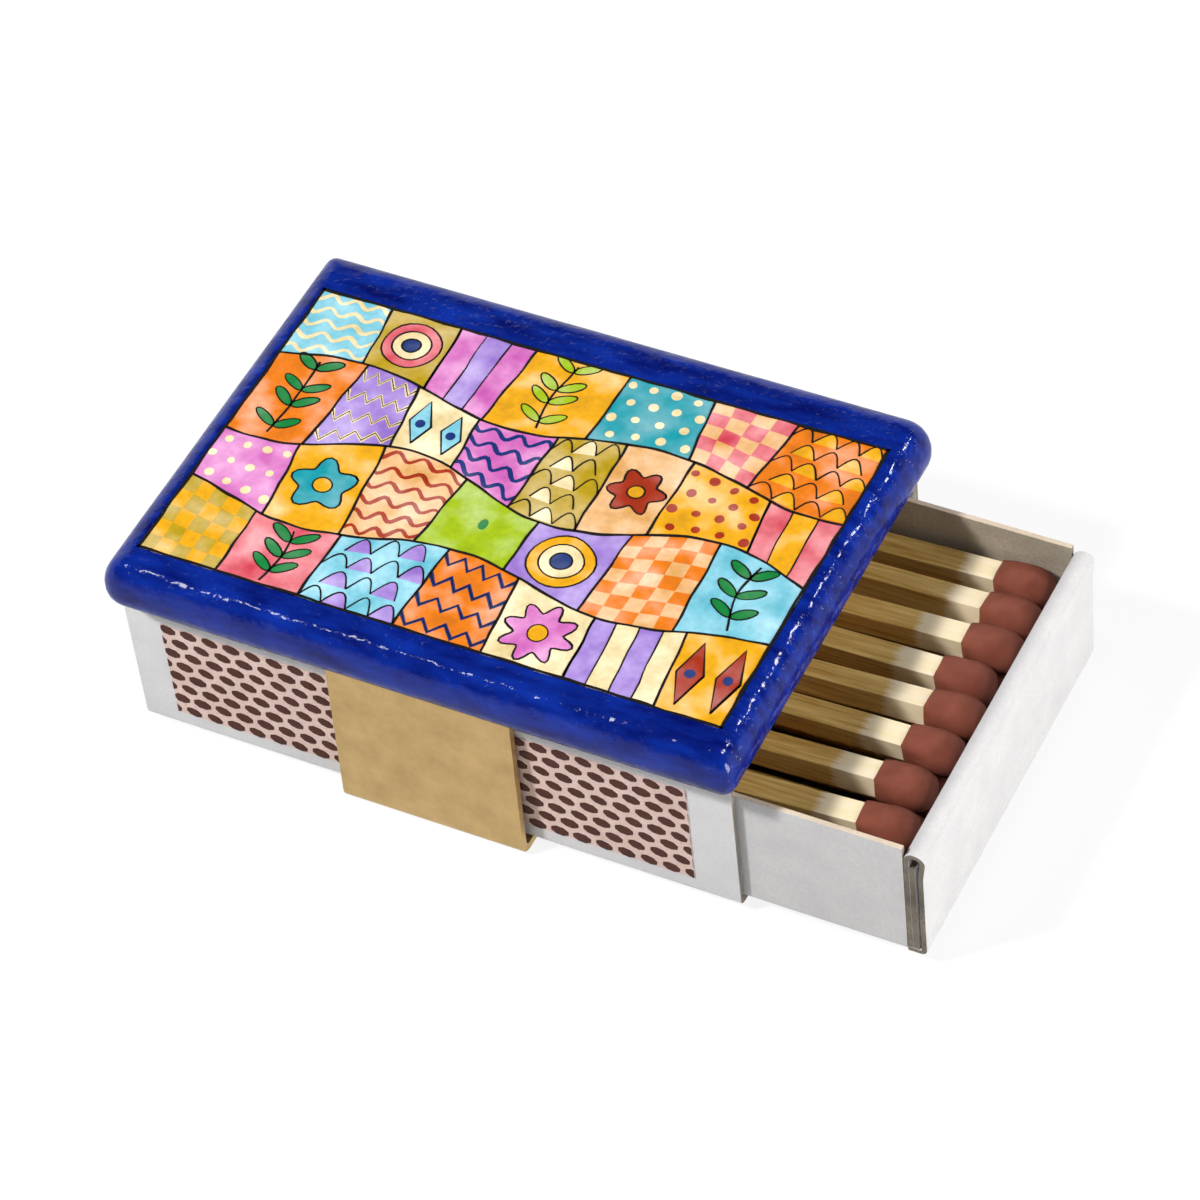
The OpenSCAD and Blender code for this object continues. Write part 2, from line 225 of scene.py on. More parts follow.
def sweep_card(bm, path, thickness, places, to_space, closed=False, ragged=0.0, faces=(0, 0), edges=(1, 1)):
    """A sheet of card with that section, swept through the places along its third axis, its ends ragged.
    faces: the materials of its left and right faces; edges: those of its long edges and of its ends."""
    left, right = two_sides(path, thickness, closed)
    grid = []
    for n, place in enumerate(places):
        at_end = n in (0, len(places) - 1)
        inwards = 1 if n == 0 else -1
        rings = []
        for points in (left, right):
            ring = []
            for point in points:
                shift = 0
                if at_end and ragged:
                    wander = noise.noise(Vector((point.x, point.y, place)) / (1.3 * MM))
                    shift = inwards * ragged * (0.5 + 0.5 * wander)
                ring.append(bm.verts.new(to_space(point.x, point.y, place + shift)))
            rings.append(ring)
        grid.append(rings)
    count = len(path)
    spans = count if closed else count - 1
    for first, second in zip(grid, grid[1:]):
        for s in (0, 1):
            for i in range(spans):
                j = (i + 1) % count
                face = bm.faces.new((first[s][i], first[s][j], second[s][j], second[s][i]))
                face.material_index = faces[s]
        if not closed:
            for i in (0, count - 1):
                edge = bm.faces.new((first[0][i], first[1][i], second[1][i], second[0][i]))
                edge.material_index = edges[0]
    for rings in (grid[0], grid[-1]):
        for i in range(spans):
            j = (i + 1) % count
            edge = bm.faces.new((rings[0][i], rings[0][j], rings[1][j], rings[1][i]))
            edge.material_index = edges[1]


def spaced(start, end, step):
    """Places from start to end, about a step apart."""
    count = max(1, round(abs(end - start) / step))
    return [start + (end - start) * i / count for i in range(count + 1)]


def mesh_of(bm, name, smooth_below=40):
    """Turns a bmesh into a mesh with outward faces, smooth but for edges sharper than that."""
    bmesh.ops.recalc_face_normals(bm, faces=bm.faces)
    mesh = bpy.data.meshes.new(name)
    bm.to_mesh(mesh)
    bm.free()
    mesh.shade_smooth()
    mesh.set_sharp_from_angle(angle=math.radians(smooth_below))
    return mesh


def soften(piece, width, angle=50, segments=2):
    """Rounds the piece's sharp edges."""
    bevel = piece.modifiers.new("soft_edges", "BEVEL")
    bevel.width = width
    bevel.segments = segments
    bevel.limit_method = "ANGLE"
    bevel.angle_limit = math.radians(angle)
    bevel.harden_normals = True


def card_material(name, colour, shade, roughness, fibre=0.25):
    """Card: short pulp fibres in a pressed sheet, seen as faint clouds and a fine matt tooth."""
    material, tree, output = new_material(name)
    place = add(tree, "ShaderNodeTexCoord")
    clouds = add(tree, "ShaderNodeTexNoise",
                 {"Vector": place.outputs["Object"], "Scale": 1 / (3 * MM), "Detail": 4.0})
    fibres = add(tree, "ShaderNodeTexNoise",
                 {"Vector": place.outputs["Object"], "Scale": 1 / (fibre * MM), "Detail": 3.0})
    amount = add(tree, "ShaderNodeMath", {0: clouds.outputs["Fac"], 1: fibres.outputs["Fac"]},
                 operation="MULTIPLY")
    ramp = add(tree, "ShaderNodeValToRGB", {"Fac": amount.outputs[0]})
    ramp.color_ramp.elements[0].position = 0.12
    ramp.color_ramp.elements[0].color = srgb(shade)
    ramp.color_ramp.elements[1].position = 0.4
    ramp.color_ramp.elements[1].color = srgb(colour)
    bump = add(tree, "ShaderNodeBump",
               {"Height": fibres.outputs["Fac"], "Strength": 0.25, "Distance": 0.03 * MM})
    shader = add(tree, "ShaderNodeBsdfPrincipled",
                 {"Base Color": ramp.outputs["Color"], "Roughness": roughness, "Normal": bump.outputs[0]})
    tree.links.new(shader.outputs[0], output.inputs["Surface"])
    return material


coated_card = card_material("coated_white_card", "#dedddd", "#d2d0d1", 0.45)
cut_core = card_material("cut_grey_core", "#948a7d", "#5f574c", 0.9, 0.12)
sleeve_card = 0.4 * MM
sleeve_fold = 0.5 * MM
flap_gap = 2.5 * MM
sleeve_mid = (sleeve_lo + sleeve_hi) / 2
half_w = (sleeve_hi.y - sleeve_lo.y - sleeve_card) / 2
half_h = (sleeve_hi.z - sleeve_lo.z - sleeve_card) / 2
tube = rounded_path([(-half_w, -half_h), (half_w, -half_h), (half_w, half_h), (-half_w, half_h)],
                    sleeve_fold, closed=True)
flap_y = half_w - sleeve_card
flap = [Vector((flap_y, half_h - sleeve_card / 2)), Vector((flap_y, 0)), Vector((flap_y, flap_gap - half_h))]


def across_x(y, z, x):
    """A point of a section in Y and Z, at a place along X, about the sleeve's middle."""
    return Vector((x, y, z + sleeve_mid.z))


bm = bmesh.new()
along = spaced(sleeve_lo.x, sleeve_hi.x, 2 * MM)
sweep_card(bm, tube, sleeve_card, along, across_x, closed=True, ragged=0.06 * MM)
sweep_card(bm, flap, sleeve_card * 0.98, along, across_x, ragged=0.12 * MM)
sleeve = new_piece("folded_sleeve", mesh_of(bm, "folded_sleeve"), [coated_card, cut_core])
soften(sleeve, 0.04 * MM)
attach(sleeve, "sleeve")
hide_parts("sleeve")


# Striking strips: a pale pink ground on each long side, printed with staggered rows of small slanted
# lozenges of dark friction compound that stand a little proud. The two end rows are cut off by the margin.
strip_lo, strip_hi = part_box("striker_front")
dot_pitch = 1.93 * MM
dot_row = 1.35 * MM
dot_size = Vector((1.52, 0.94)) * MM
dot_slant = math.radians(-10)
first_dot = 0.55 * MM
ground_t = 0.05 * MM


def tree_group(name, sizes):
    """An empty Geometry Nodes tree with named inputs, and its two end nodes."""
    group = bpy.data.node_groups.new(name, "GeometryNodeTree")
    face = group.interface
    face.new_socket("Geometry", in_out="INPUT", socket_type="NodeSocketGeometry")
    for key, kind in sizes.items():
        face.new_socket(key, in_out="INPUT", socket_type=kind)
    face.new_socket("Geometry", in_out="OUTPUT", socket_type="NodeSocketGeometry")
    return group, add(group, "NodeGroupInput"), add(group, "NodeGroupOutput")


def grown(name, group, values, material, points=None):
    """The plain mesh that a Geometry Nodes tree gives for those points and values of its inputs."""
    holder = bpy.data.objects.new(name, points or bpy.data.meshes.new(name))
    bpy.context.scene.collection.objects.link(holder)
    modifier = holder.modifiers.new(name, "NODES")
    modifier.node_group = group
    for item in group.interface.items_tree:
        if item.in_out == "INPUT" and item.name in values:
            modifier[item.identifier] = values[item.name]
    graph = bpy.context.evaluated_depsgraph_get()
    mesh = bpy.data.meshes.new_from_object(holder.evaluated_get(graph), depsgraph=graph)
    bpy.data.objects.remove(holder)
    mesh.name = name
    mesh.materials.clear()
    mesh.materials.append(material)
    return mesh


compound, tree, output = new_material("striking_compound")
place = add(tree, "ShaderNodeTexCoord")
grit = add(tree, "ShaderNodeTexNoise",
           {"Vector": place.outputs["Object"], "Scale": 1 / (0.12 * MM), "Detail": 3.0})
patches = add(tree, "ShaderNodeTexNoise",
              {"Vector": place.outputs["Object"], "Scale": 1 / (1.5 * MM), "Detail": 2.0})
mottle = add(tree, "ShaderNodeMix", {"Factor": patches.outputs["Fac"], 6: srgb("#34190f"), 7: srgb("#5c342b")},
             data_type="RGBA")
bump = add(tree, "ShaderNodeBump", {"Height": grit.outputs["Fac"], "Strength": 0.8, "Distance": 0.04 * MM})
shader = add(tree, "ShaderNodeBsdfPrincipled",
             {"Base Color": mottle.outputs[2], "Roughness": 0.85, "Normal": bump.outputs[0]})
tree.links.new(shader.outputs[0], output.inputs["Surface"])
pink_ground = card_material("pink_striker_ground", "#e8cfc5", "#d8baaf", 0.7)

group, start, end = tree_group("striker_dots", {
    "Columns": "NodeSocketInt", "Rows": "NodeSocketInt", "Pitch": "NodeSocketFloat", "Row": "NodeSocketFloat",
    "Dot Length": "NodeSocketFloat", "Dot Height": "NodeSocketFloat", "Slant": "NodeSocketFloat",
    "Half Strip": "NodeSocketFloat", "First Dot": "NodeSocketFloat", "Relief": "NodeSocketFloat",
    "Seed": "NodeSocketInt"})
points = add(group, "GeometryNodeMeshLine", {"Count": 1, "Offset": (0, 0, 0)})
total = add(group, "ShaderNodeMath", {0: start.outputs["Columns"], 1: start.outputs["Rows"]},
            operation="MULTIPLY")
group.links.new(total.outputs[0], points.inputs["Count"])
index = add(group, "GeometryNodeInputIndex")
row = add(group, "ShaderNodeMath", {0: index.outputs[0], 1: start.outputs["Columns"]}, operation="DIVIDE")
row = add(group, "ShaderNodeMath", {0: row.outputs[0]}, operation="FLOOR")
column = add(group, "ShaderNodeMath", {0: index.outputs[0], 1: start.outputs["Columns"]}, operation="MODULO")
odd = add(group, "ShaderNodeMath", {0: row.outputs[0], 1: 2.0}, operation="MODULO")
half_step = add(group, "ShaderNodeMath", {0: odd.outputs[0], 1: -0.5, 2: column.outputs[0]},
                operation="MULTIPLY_ADD")
dot_x = add(group, "ShaderNodeMath",
            {0: half_step.outputs[0], 1: start.outputs["Pitch"], 2: start.outputs["First Dot"]},
            operation="MULTIPLY_ADD")
dot_x = add(group, "ShaderNodeMath", {0: dot_x.outputs[0], 1: start.outputs["Half Strip"]},
            operation="SUBTRACT")
dot_y = add(group, "ShaderNodeMath", {0: row.outputs[0], 1: start.outputs["Row"]}, operation="MULTIPLY")
at = add(group, "ShaderNodeCombineXYZ", {0: dot_x.outputs[0], 1: dot_y.outputs[0]})
lattice = add(group, "GeometryNodeSetPosition", {"Geometry": points.outputs[0], "Position": at.outputs[0]})
lozenge = add(group, "GeometryNodeMeshCone",
              {"Vertices": 8, "Radius Top": 0.49, "Radius Bottom": 0.53, "Depth": 1.0})
lozenge = add(group, "GeometryNodeTransform",
              {"Geometry": lozenge.outputs["Mesh"], "Rotation": (0, 0, math.pi / 8)})
dot_scale = add(group, "ShaderNodeCombineXYZ",
                {0: start.outputs["Dot Length"], 1: start.outputs["Dot Height"], 2: start.outputs["Relief"]})
lozenge = add(group, "GeometryNodeTransform",
              {"Geometry": lozenge.outputs[0], "Scale": dot_scale.outputs[0]})
jitter = add(group, "FunctionNodeRandomValue", {2: -0.12, 3: 0.12, "Seed": start.outputs["Seed"]})
turn = add(group, "ShaderNodeMath", {0: start.outputs["Slant"], 1: jitter.outputs[1]}, operation="ADD")
turn = add(group, "ShaderNodeCombineXYZ", {2: turn.outputs[0]})
swell = add(group, "FunctionNodeRandomValue", {2: 0.92, 3: 1.06, "Seed": start.outputs["Seed"]})
dots = add(group, "GeometryNodeInstanceOnPoints",
           {"Points": lattice.outputs[0], "Instance": lozenge.outputs[0], "Rotation": turn.outputs[0],
            "Scale": swell.outputs[1]})
dots = add(group, "GeometryNodeRealizeInstances", {"Geometry": dots.outputs[0]})
position = add(group, "GeometryNodeInputPosition")
split = add(group, "ShaderNodeSeparateXYZ", {0: position.outputs[0]})
least = add(group, "ShaderNodeMath", {0: start.outputs["Half Strip"], 1: -1.0}, operation="MULTIPLY")
kept = add(group, "ShaderNodeClamp",
           {"Value": split.outputs[0], "Min": least.outputs[0], "Max": start.outputs["Half Strip"]})
cut = add(group, "ShaderNodeCombineXYZ", {0: kept.outputs[0], 1: split.outputs[1], 2: split.outputs[2]})
dots = add(group, "GeometryNodeSetPosition", {"Geometry": dots.outputs[0], "Position": cut.outputs[0]})
dots = add(group, "GeometryNodeSetMaterial", {"Geometry": dots.outputs[0], "Material": compound})
group.links.new(dots.outputs[0], end.inputs["Geometry"])

strip_l = strip_hi.x - strip_lo.x
strip_h = strip_hi.z - strip_lo.z
dot_rows = 8
for face, name in ((-1, "front"), (1, "back")):
    lo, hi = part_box("striker_" + name)
    mesh = grown("striker_" + name + "_printed", group, {
        "Columns": int((strip_l - first_dot) / dot_pitch + 1.6), "Rows": dot_rows, "Pitch": dot_pitch,
        "Row": -dot_row, "First Dot": first_dot, "Dot Length": dot_size.x, "Dot Height": dot_size.y, "Slant": dot_slant,
        "Half Strip": strip_l / 2, "Relief": ground_t, "Seed": 7 + face}, compound)
    stand = Matrix(((1, 0, 0), (0, 0, 1), (0, 1, 0))) if face > 0 else Matrix(((1, 0, 0), (0, 0, -1), (0, 1, 0)))
    wall = lo.y if face > 0 else hi.y
    first_row = (lo.z + hi.z) / 2 + dot_row * (dot_rows - 1) / 2
    mesh.transform(Matrix.Translation(((lo.x + hi.x) / 2, wall + face * ground_t, first_row)) @ stand.to_4x4())
    bm = bmesh.new()
    bm.from_mesh(mesh)
    bmesh.ops.remove_doubles(bm, verts=bm.verts, dist=0.002 * MM)
    printed = bm.faces[:]
    ground = bmesh.ops.create_cube(bm, size=1)["verts"]
    for v in ground:
        v.co = Vector(((lo.x + hi.x) / 2 + v.co.x * strip_l, wall + face * ground_t * (0.5 + v.co.y),
                       (lo.z + hi.z) / 2 + v.co.z * strip_h))
    for f in {f for v in ground for f in v.link_faces}:
        f.material_index = 1
    mesh = mesh_of(bm, "striker_%s_printed" % name, 30)
    strip = new_piece("striker_%s_printed" % name, mesh, [compound, pink_ground])
    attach(strip, "sleeve")
    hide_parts("striker_" + name)


# Drawer: one card blank. Its side walls fold up from the floor, and its end walls fold up, roll over at
# the top and come down again inside, so that the raw edges of both layers show at the corners.
outer_card = card_material("white_lined_card", "#d4d3d2", "#c8c6c6", 0.55)
# The drawer's inner faces are a darker, warmer card than its outside. This is partly bare card and partly painted shade
# for the dim inside of the drawer.
inside_card_and_painted_shade = card_material("bare_card_and_painted_shade", "#b9ae9d", "#a09683", 0.8)
# The side walls' cut top edges take a paler, peach copy of the card's core: the core colour plus painted light where
# the lamp falls on those top edges. The same core shows grey at the corners.
core_and_painted_lit_edge = card_material("cut_core_and_painted_light", "#dfceba", "#c6b39c", 0.85, 0.12)
tray_card = 0.45 * MM
end_slot = 0.7 * MM
roll_bulge = 0.2 * MM
end_wall = 2 * tray_card + end_slot
tray_fold = 0.35 * MM
tray_lo, tray_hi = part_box("tray")
tray_mid = (tray_lo + tray_hi) / 2
floor_mid = tray_lo.z + tray_card / 2
wall_y = (tray_hi.y - tray_lo.y - tray_card) / 2
end_top = tray_hi.z - 0.4 * MM
bm = bmesh.new()
trough = rounded_path([(-wall_y, tray_hi.z), (-wall_y, floor_mid), (wall_y, floor_mid), (wall_y, tray_hi.z)],
                      tray_fold)


def across_tray(y, z, x):
    """A point of a section in Y and Z, at a place along X, about the drawer's middle line."""
    return Vector((x, y + tray_mid.y, z))


inner_end = tray_hi.x - roll_bulge - end_wall
inner_start = tray_lo.x + roll_bulge + end_wall
sweep_card(bm, trough, tray_card, spaced(inner_start, inner_end, 2.5 * MM), across_tray, faces=(3, 0),
           edges=(2, 1))
roll_mid = (end_wall + roll_bulge - tray_card) / 2
roll_z = end_top - roll_mid - tray_card / 2
for way, foot in ((1, tray_hi.x - roll_bulge), (-1, tray_lo.x + roll_bulge)):
    centre = roll_bulge - tray_card / 2 - roll_mid
    path = rounded_path([(-end_wall, floor_mid), (-tray_card / 2, floor_mid), (-tray_card / 2, roll_z / 2)],
                        tray_fold)
    path += [Vector((-tray_card / 2, roll_z - 1.6 * MM))]
    path += [Vector((centre + roll_mid * math.cos(a), roll_z + roll_mid * math.sin(a)))
             for a in (math.pi * i / 12 for i in range(13))]
    path += [Vector((tray_card / 2 - end_wall, roll_z - 1.2 * MM)), Vector((tray_card / 2 - end_wall, roll_z / 2)),
             Vector((tray_card / 2 - end_wall, floor_mid + tray_card / 2))]

    def across_end(x, z, y, way=way, foot=foot):
        """A point of an end wall's section in X and Z, at a place along Y."""
        return Vector((foot + way * x, y, z))

    sweep_card(bm, path, tray_card, spaced(tray_lo.y, tray_hi.y, 2.5 * MM), across_end, ragged=0.08 * MM)
tray = new_piece("folded_drawer", mesh_of(bm, "folded_drawer"), [outer_card, cut_core, core_and_painted_lit_edge, inside_card_and_painted_shade])
soften(tray, 0.05 * MM)
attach(tray, "tray")
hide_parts("tray")


# Corner tabs: the side walls' ends, folded in and tucked between the two layers of the end walls.
# Only their folds show, as a dark slit at each corner.
tab_l = 12 * MM
tab_drop = 2.5 * MM
tab_top = roll_z - roll_mid


def card_plate(bm, outline, thickness, to_space):
    """A flat piece of card with that outline, its cut edges of material 1."""
    rings = [[bm.verts.new(to_space(p[0], p[1], t)) for p in outline] for t in (0, thickness)]
    for ring in rings:
        bm.faces.new(ring)
    for i in range(len(outline)):
        j = (i + 1) % len(outline)
        edge = bm.faces.new((rings[0][i], rings[0][j], rings[1][j], rings[1][i]))
        edge.material_index = 1


tab_outer = tray_hi.y - tray_mid.y - 0.2 * tray_card
tab_inner = tray_hi.y - tray_mid.y - tab_l
tab_outline = [(tab_outer, floor_mid), (tab_outer, tab_top), (tab_inner, tab_top - tab_drop), (tab_inner, floor_mid)]
bm = bmesh.new()
for way, foot in ((1, inner_end), (-1, inner_start)):
    for hand in (1, -1):
        card_plate(bm, tab_outline, tray_card * 0.96, lambda y, z, x, way=way, foot=foot, hand=hand: Vector(
            (foot + way * (tray_card * 1.02 + x), tray_mid.y + hand * y, z)))
tabs = new_piece("corner_tabs", mesh_of(bm, "corner_tabs"), [outer_card, cut_core])
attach(tabs, "tray")
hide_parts("tray")


# Matches: two square millimetres of split aspen each, dipped in paraffin at one end and then in compound.
# Three layers lie in the drawer, heads to its front end; the top one rises a little towards its heads.
stick_w = 2.1 * MM
stick_l = 43.8 * MM
head_l = 4.6 * MM
head_cap = 1.2 * MM
head_d = 3.4 * MM
split_depth = 0.05 * MM

split_aspen, tree, output = new_material("split_aspen")
place = add(tree, "ShaderNodeTexCoord")
number = add(tree, "ShaderNodeAttribute", attribute_name="number")
distance = add(tree, "ShaderNodeAttribute", attribute_name="along")
grain_place = add(tree, "ShaderNodeMapping",
                  {"Vector": place.outputs["Object"], "Scale": (1 / (9 * MM), 1 / (0.3 * MM), 1 / (0.3 * MM))})
grain = add(tree, "ShaderNodeTexNoise", {"Vector": grain_place.outputs[0], "W": number.outputs["Fac"],
                                         "Scale": 1.0, "Detail": 4.0, "Roughness": 0.6}, noise_dimensions="4D")
# The wood is tan along most of each stick and paler over the few millimetres nearest the head. The tan is the wood's
# own tone, partly darkened as painted shadow of the board, which ends about where the pale part starts. The pale end is
# painted light.
tone = add(tree, "ShaderNodeValToRGB", {"Fac": grain.outputs["Fac"]})
tone.color_ramp.elements[0].position = 0.3
tone.color_ramp.elements[0].color = srgb("#b98731")
tone.color_ramp.elements[1].position = 0.68
tone.color_ramp.elements[1].color = srgb("#efcd80")
painted_lit_tone = add(tree, "ShaderNodeValToRGB", {"Fac": grain.outputs["Fac"]})
painted_lit_tone.color_ramp.elements[0].position = 0.25
painted_lit_tone.color_ramp.elements[0].color = srgb("#f0dcab")
painted_lit_tone.color_ramp.elements[1].position = 0.6
painted_lit_tone.color_ramp.elements[1].color = srgb("#f6e6c6")
chance = add(tree, "ShaderNodeTexWhiteNoise", {"W": number.outputs["Fac"]}, noise_dimensions="1D")
own_end = add(tree, "ShaderNodeMath", {0: chance.outputs["Value"], 1: 1.2 * MM, 2: distance.outputs["Fac"]},
              operation="MULTIPLY_ADD")
ragged = add(tree, "ShaderNodeMath", {0: grain.outputs["Fac"], 1: 1.6 * MM, 2: own_end.outputs[0]},
             operation="MULTIPLY_ADD")
# Painted light: how much of the paler, lit end shows, with a ragged edge.
painted_lit_end = add(tree, "ShaderNodeMapRange", {"Value": ragged.outputs[0], "From Min": -6.9 * MM,
                                          "From Max": -6.2 * MM})
own_tone = add(tree, "ShaderNodeMapRange", {"Value": chance.outputs["Value"], "To Min": 0.86, "To Max": 1.08})
wood_and_painted_shade_tone = add(tree, "ShaderNodeHueSaturation", {"Color": tone.outputs["Color"], "Value": own_tone.outputs[0]})
wood = add(tree, "ShaderNodeMix", {"Factor": painted_lit_end.outputs[0], 6: wood_and_painted_shade_tone.outputs["Color"],
                                   7: painted_lit_tone.outputs["Color"]}, data_type="RGBA")
bump = add(tree, "ShaderNodeBump", {"Height": grain.outputs["Fac"], "Strength": 0.5, "Distance": 0.08 * MM})
shader = add(tree, "ShaderNodeBsdfPrincipled",
             {"Base Color": wood.outputs[2], "Roughness": 0.6, "Normal": bump.outputs[0]})
tree.links.new(shader.outputs[0], output.inputs["Surface"])

match_compound, tree, output = new_material("match_compound")
place = add(tree, "ShaderNodeTexCoord")
distance = add(tree, "ShaderNodeAttribute", attribute_name="along")
grit = add(tree, "ShaderNodeTexNoise",
           {"Vector": place.outputs["Object"], "Scale": 1 / (0.15 * MM), "Detail": 4.0})
cloud = add(tree, "ShaderNodeTexNoise",
            {"Vector": place.outputs["Object"], "Scale": 1 / (1.6 * MM), "Detail": 2.0})
mottle = add(tree, "ShaderNodeMix", {"Factor": cloud.outputs["Fac"], 6: srgb("#6f392a"), 7: srgb("#965645")},
             data_type="RGBA")
# The heads are painted a lighter pink over their last 1.6 mm, growing towards the tip: a painted highlight where the
# lamp at the right falls on them.
painted_tip_highlight = add(tree, "ShaderNodeMapRange", {"Value": distance.outputs["Fac"], "From Min": -1.6 * MM,
                                           "From Max": 0.0, "To Max": 0.55})
tint = add(tree, "ShaderNodeMix", {"Factor": painted_tip_highlight.outputs[0], 6: mottle.outputs[2], 7: srgb("#a8796a")},
           data_type="RGBA")
bump = add(tree, "ShaderNodeBump", {"Height": grit.outputs["Fac"], "Strength": 0.7, "Distance": 0.05 * MM})
shader = add(tree, "ShaderNodeBsdfPrincipled",
             {"Base Color": tint.outputs[2], "Roughness": 0.75, "Normal": bump.outputs[0]})
tree.links.new(shader.outputs[0], output.inputs["Surface"])


def laid_out(group, part, start, material):
    """Places a part at each point of the input, turned as the point says, and hands out the nodes to finish."""
    turn = add(group, "GeometryNodeInputNamedAttribute", {"Name": "turn"}, data_type="FLOAT_VECTOR")
    number = add(group, "GeometryNodeInputNamedAttribute", {"Name": "number"}, data_type="FLOAT")
    laid = add(group, "GeometryNodeInstanceOnPoints",
               {"Points": start.outputs["Geometry"], "Instance": part, "Rotation": turn.outputs[0]})
    laid = add(group, "GeometryNodeRealizeInstances", {"Geometry": laid.outputs[0]})
    position = add(group, "GeometryNodeInputPosition")
    stretch = add(group, "ShaderNodeVectorMath",
                  {0: position.outputs[0], 1: start.outputs["Grain"]}, operation="MULTIPLY")
    wander = add(group, "ShaderNodeTexNoise", {"Vector": stretch.outputs[0], "W": number.outputs[0],
                                               "Scale": 1.0, "Detail": 1.0}, noise_dimensions="4D")
    depth = add(group, "ShaderNodeMath", {0: wander.outputs["Fac"], 1: start.outputs["Depth"]},
                operation="MULTIPLY")
    normal = add(group, "GeometryNodeInputNormal")
    inwards = add(group, "ShaderNodeVectorMath", {0: normal.outputs[0], 3: depth.outputs[0]}, operation="SCALE")
    inwards = add(group, "ShaderNodeVectorMath", {0: inwards.outputs[0], 3: -1.0}, operation="SCALE")
    laid = add(group, "GeometryNodeSetPosition", {"Geometry": laid.outputs[0], "Offset": inwards.outputs[0]})
    return add(group, "GeometryNodeSetMaterial", {"Geometry": laid.outputs[0], "Material": material})


def keep_along(group, part, value):
    """Stores on a part how far each point lies from the match's tip."""
    return add(group, "GeometryNodeStoreNamedAttribute", {"Geometry": part, "Name": "along", "Value": value},
               data_type="FLOAT", domain="POINT")


stick_group, start, end = tree_group("split_sticks", {
    "Length": "NodeSocketFloat", "Width": "NodeSocketFloat", "Cap": "NodeSocketFloat",
    "Grain": "NodeSocketVector", "Depth": "NodeSocketFloat"})
size = add(stick_group, "ShaderNodeCombineXYZ", {0: start.outputs["Length"], 1: start.outputs["Width"],
                                                 2: start.outputs["Width"]})
stick = add(stick_group, "GeometryNodeMeshCube",
            {"Size": size.outputs[0], "Vertices X": 28, "Vertices Y": 4, "Vertices Z": 4})
half = add(stick_group, "ShaderNodeMath", {0: start.outputs["Length"], 1: -0.5}, operation="MULTIPLY")
shift = add(stick_group, "ShaderNodeMath", {0: half.outputs[0], 1: start.outputs["Cap"]}, operation="SUBTRACT")
shift = add(stick_group, "ShaderNodeCombineXYZ", {0: shift.outputs[0]})
stick = add(stick_group, "GeometryNodeTransform",
            {"Geometry": stick.outputs["Mesh"], "Translation": shift.outputs[0]})
position = add(stick_group, "GeometryNodeInputPosition")
split = add(stick_group, "ShaderNodeSeparateXYZ", {0: position.outputs[0]})
stick = keep_along(stick_group, stick.outputs[0], split.outputs[0])
finished = laid_out(stick_group, stick.outputs[0], start, split_aspen)
stick_group.links.new(finished.outputs[0], end.inputs["Geometry"])

head_group, start, end = tree_group("dipped_heads", {
    "Length": "NodeSocketFloat", "Across": "NodeSocketFloat", "Stick": "NodeSocketFloat",
    "Grain": "NodeSocketVector", "Depth": "NodeSocketFloat"})
net = add(head_group, "GeometryNodeMeshGrid", {"Size X": 1.0, "Size Y": 1.0, "Vertices X": 17, "Vertices Y": 25})
position = add(head_group, "GeometryNodeInputPosition")
split = add(head_group, "ShaderNodeSeparateXYZ", {0: position.outputs[0]})
u = add(head_group, "ShaderNodeMath", {0: split.outputs[0], 1: 0.5}, operation="ADD")
angle = add(head_group, "ShaderNodeMath", {0: split.outputs[1], 1: 2 * math.pi}, operation="MULTIPLY")
cosine = add(head_group, "ShaderNodeMath", {0: angle.outputs[0]}, operation="COSINE")
sine = add(head_group, "ShaderNodeMath", {0: angle.outputs[0]}, operation="SINE")


def curve_node(group, value, points):
    """A smooth curve through those points, from 0 to 1 each way."""
    node = add(group, "ShaderNodeFloatCurve", {"Value": value})
    curve = node.mapping.curves[0]
    for at, height in points[1:-1]:
        curve.points.new(at, height)
    for made, (at, height) in zip(curve.points, points):
        made.location = (at, height)
    node.mapping.update()
    return node


travel = curve_node(head_group, u.outputs[0],
                    [(0, 0), (0.08, 0.0), (0.16, 0.05), (0.5, 0.5), (0.72, 0.8), (0.87, 0.955), (1, 1)])
girth = curve_node(head_group, u.outputs[0],
                   [(0, 0), (0.08, 0.78), (0.16, 0.86), (0.4, 0.97), (0.58, 1), (0.75, 0.86), (0.9, 0.45), (1, 0)])
roundness = add(head_group, "ShaderNodeMapRange", {"Value": u.outputs[0], "From Min": 0.05, "From Max": 0.5})
radius = add(head_group, "ShaderNodeMath", {0: start.outputs["Across"], 1: 0.5}, operation="MULTIPLY")
radius = add(head_group, "ShaderNodeMath", {0: radius.outputs[0], 1: girth.outputs[0]}, operation="MULTIPLY")
flat_y = add(head_group, "ShaderNodeMath", {0: cosine.outputs[0]}, operation="ABSOLUTE")
flat_z = add(head_group, "ShaderNodeMath", {0: sine.outputs[0]}, operation="ABSOLUTE")
flat = add(head_group, "ShaderNodeMath", {0: flat_y.outputs[0], 1: flat_z.outputs[0]}, operation="MAXIMUM")
square = add(head_group, "ShaderNodeMath", {0: 0.76, 1: flat.outputs[0]}, operation="DIVIDE")
shape = add(head_group, "ShaderNodeMix", {"Factor": roundness.outputs[0], "A": square.outputs[0], "B": 1.0})
radius = add(head_group, "ShaderNodeMath", {0: radius.outputs[0], 1: shape.outputs[0]}, operation="MULTIPLY")
reach = add(head_group, "ShaderNodeMath", {0: travel.outputs[0], 1: 1.0}, operation="SUBTRACT")
reach = add(head_group, "ShaderNodeMath", {0: reach.outputs[0], 1: start.outputs["Length"]},
            operation="MULTIPLY")
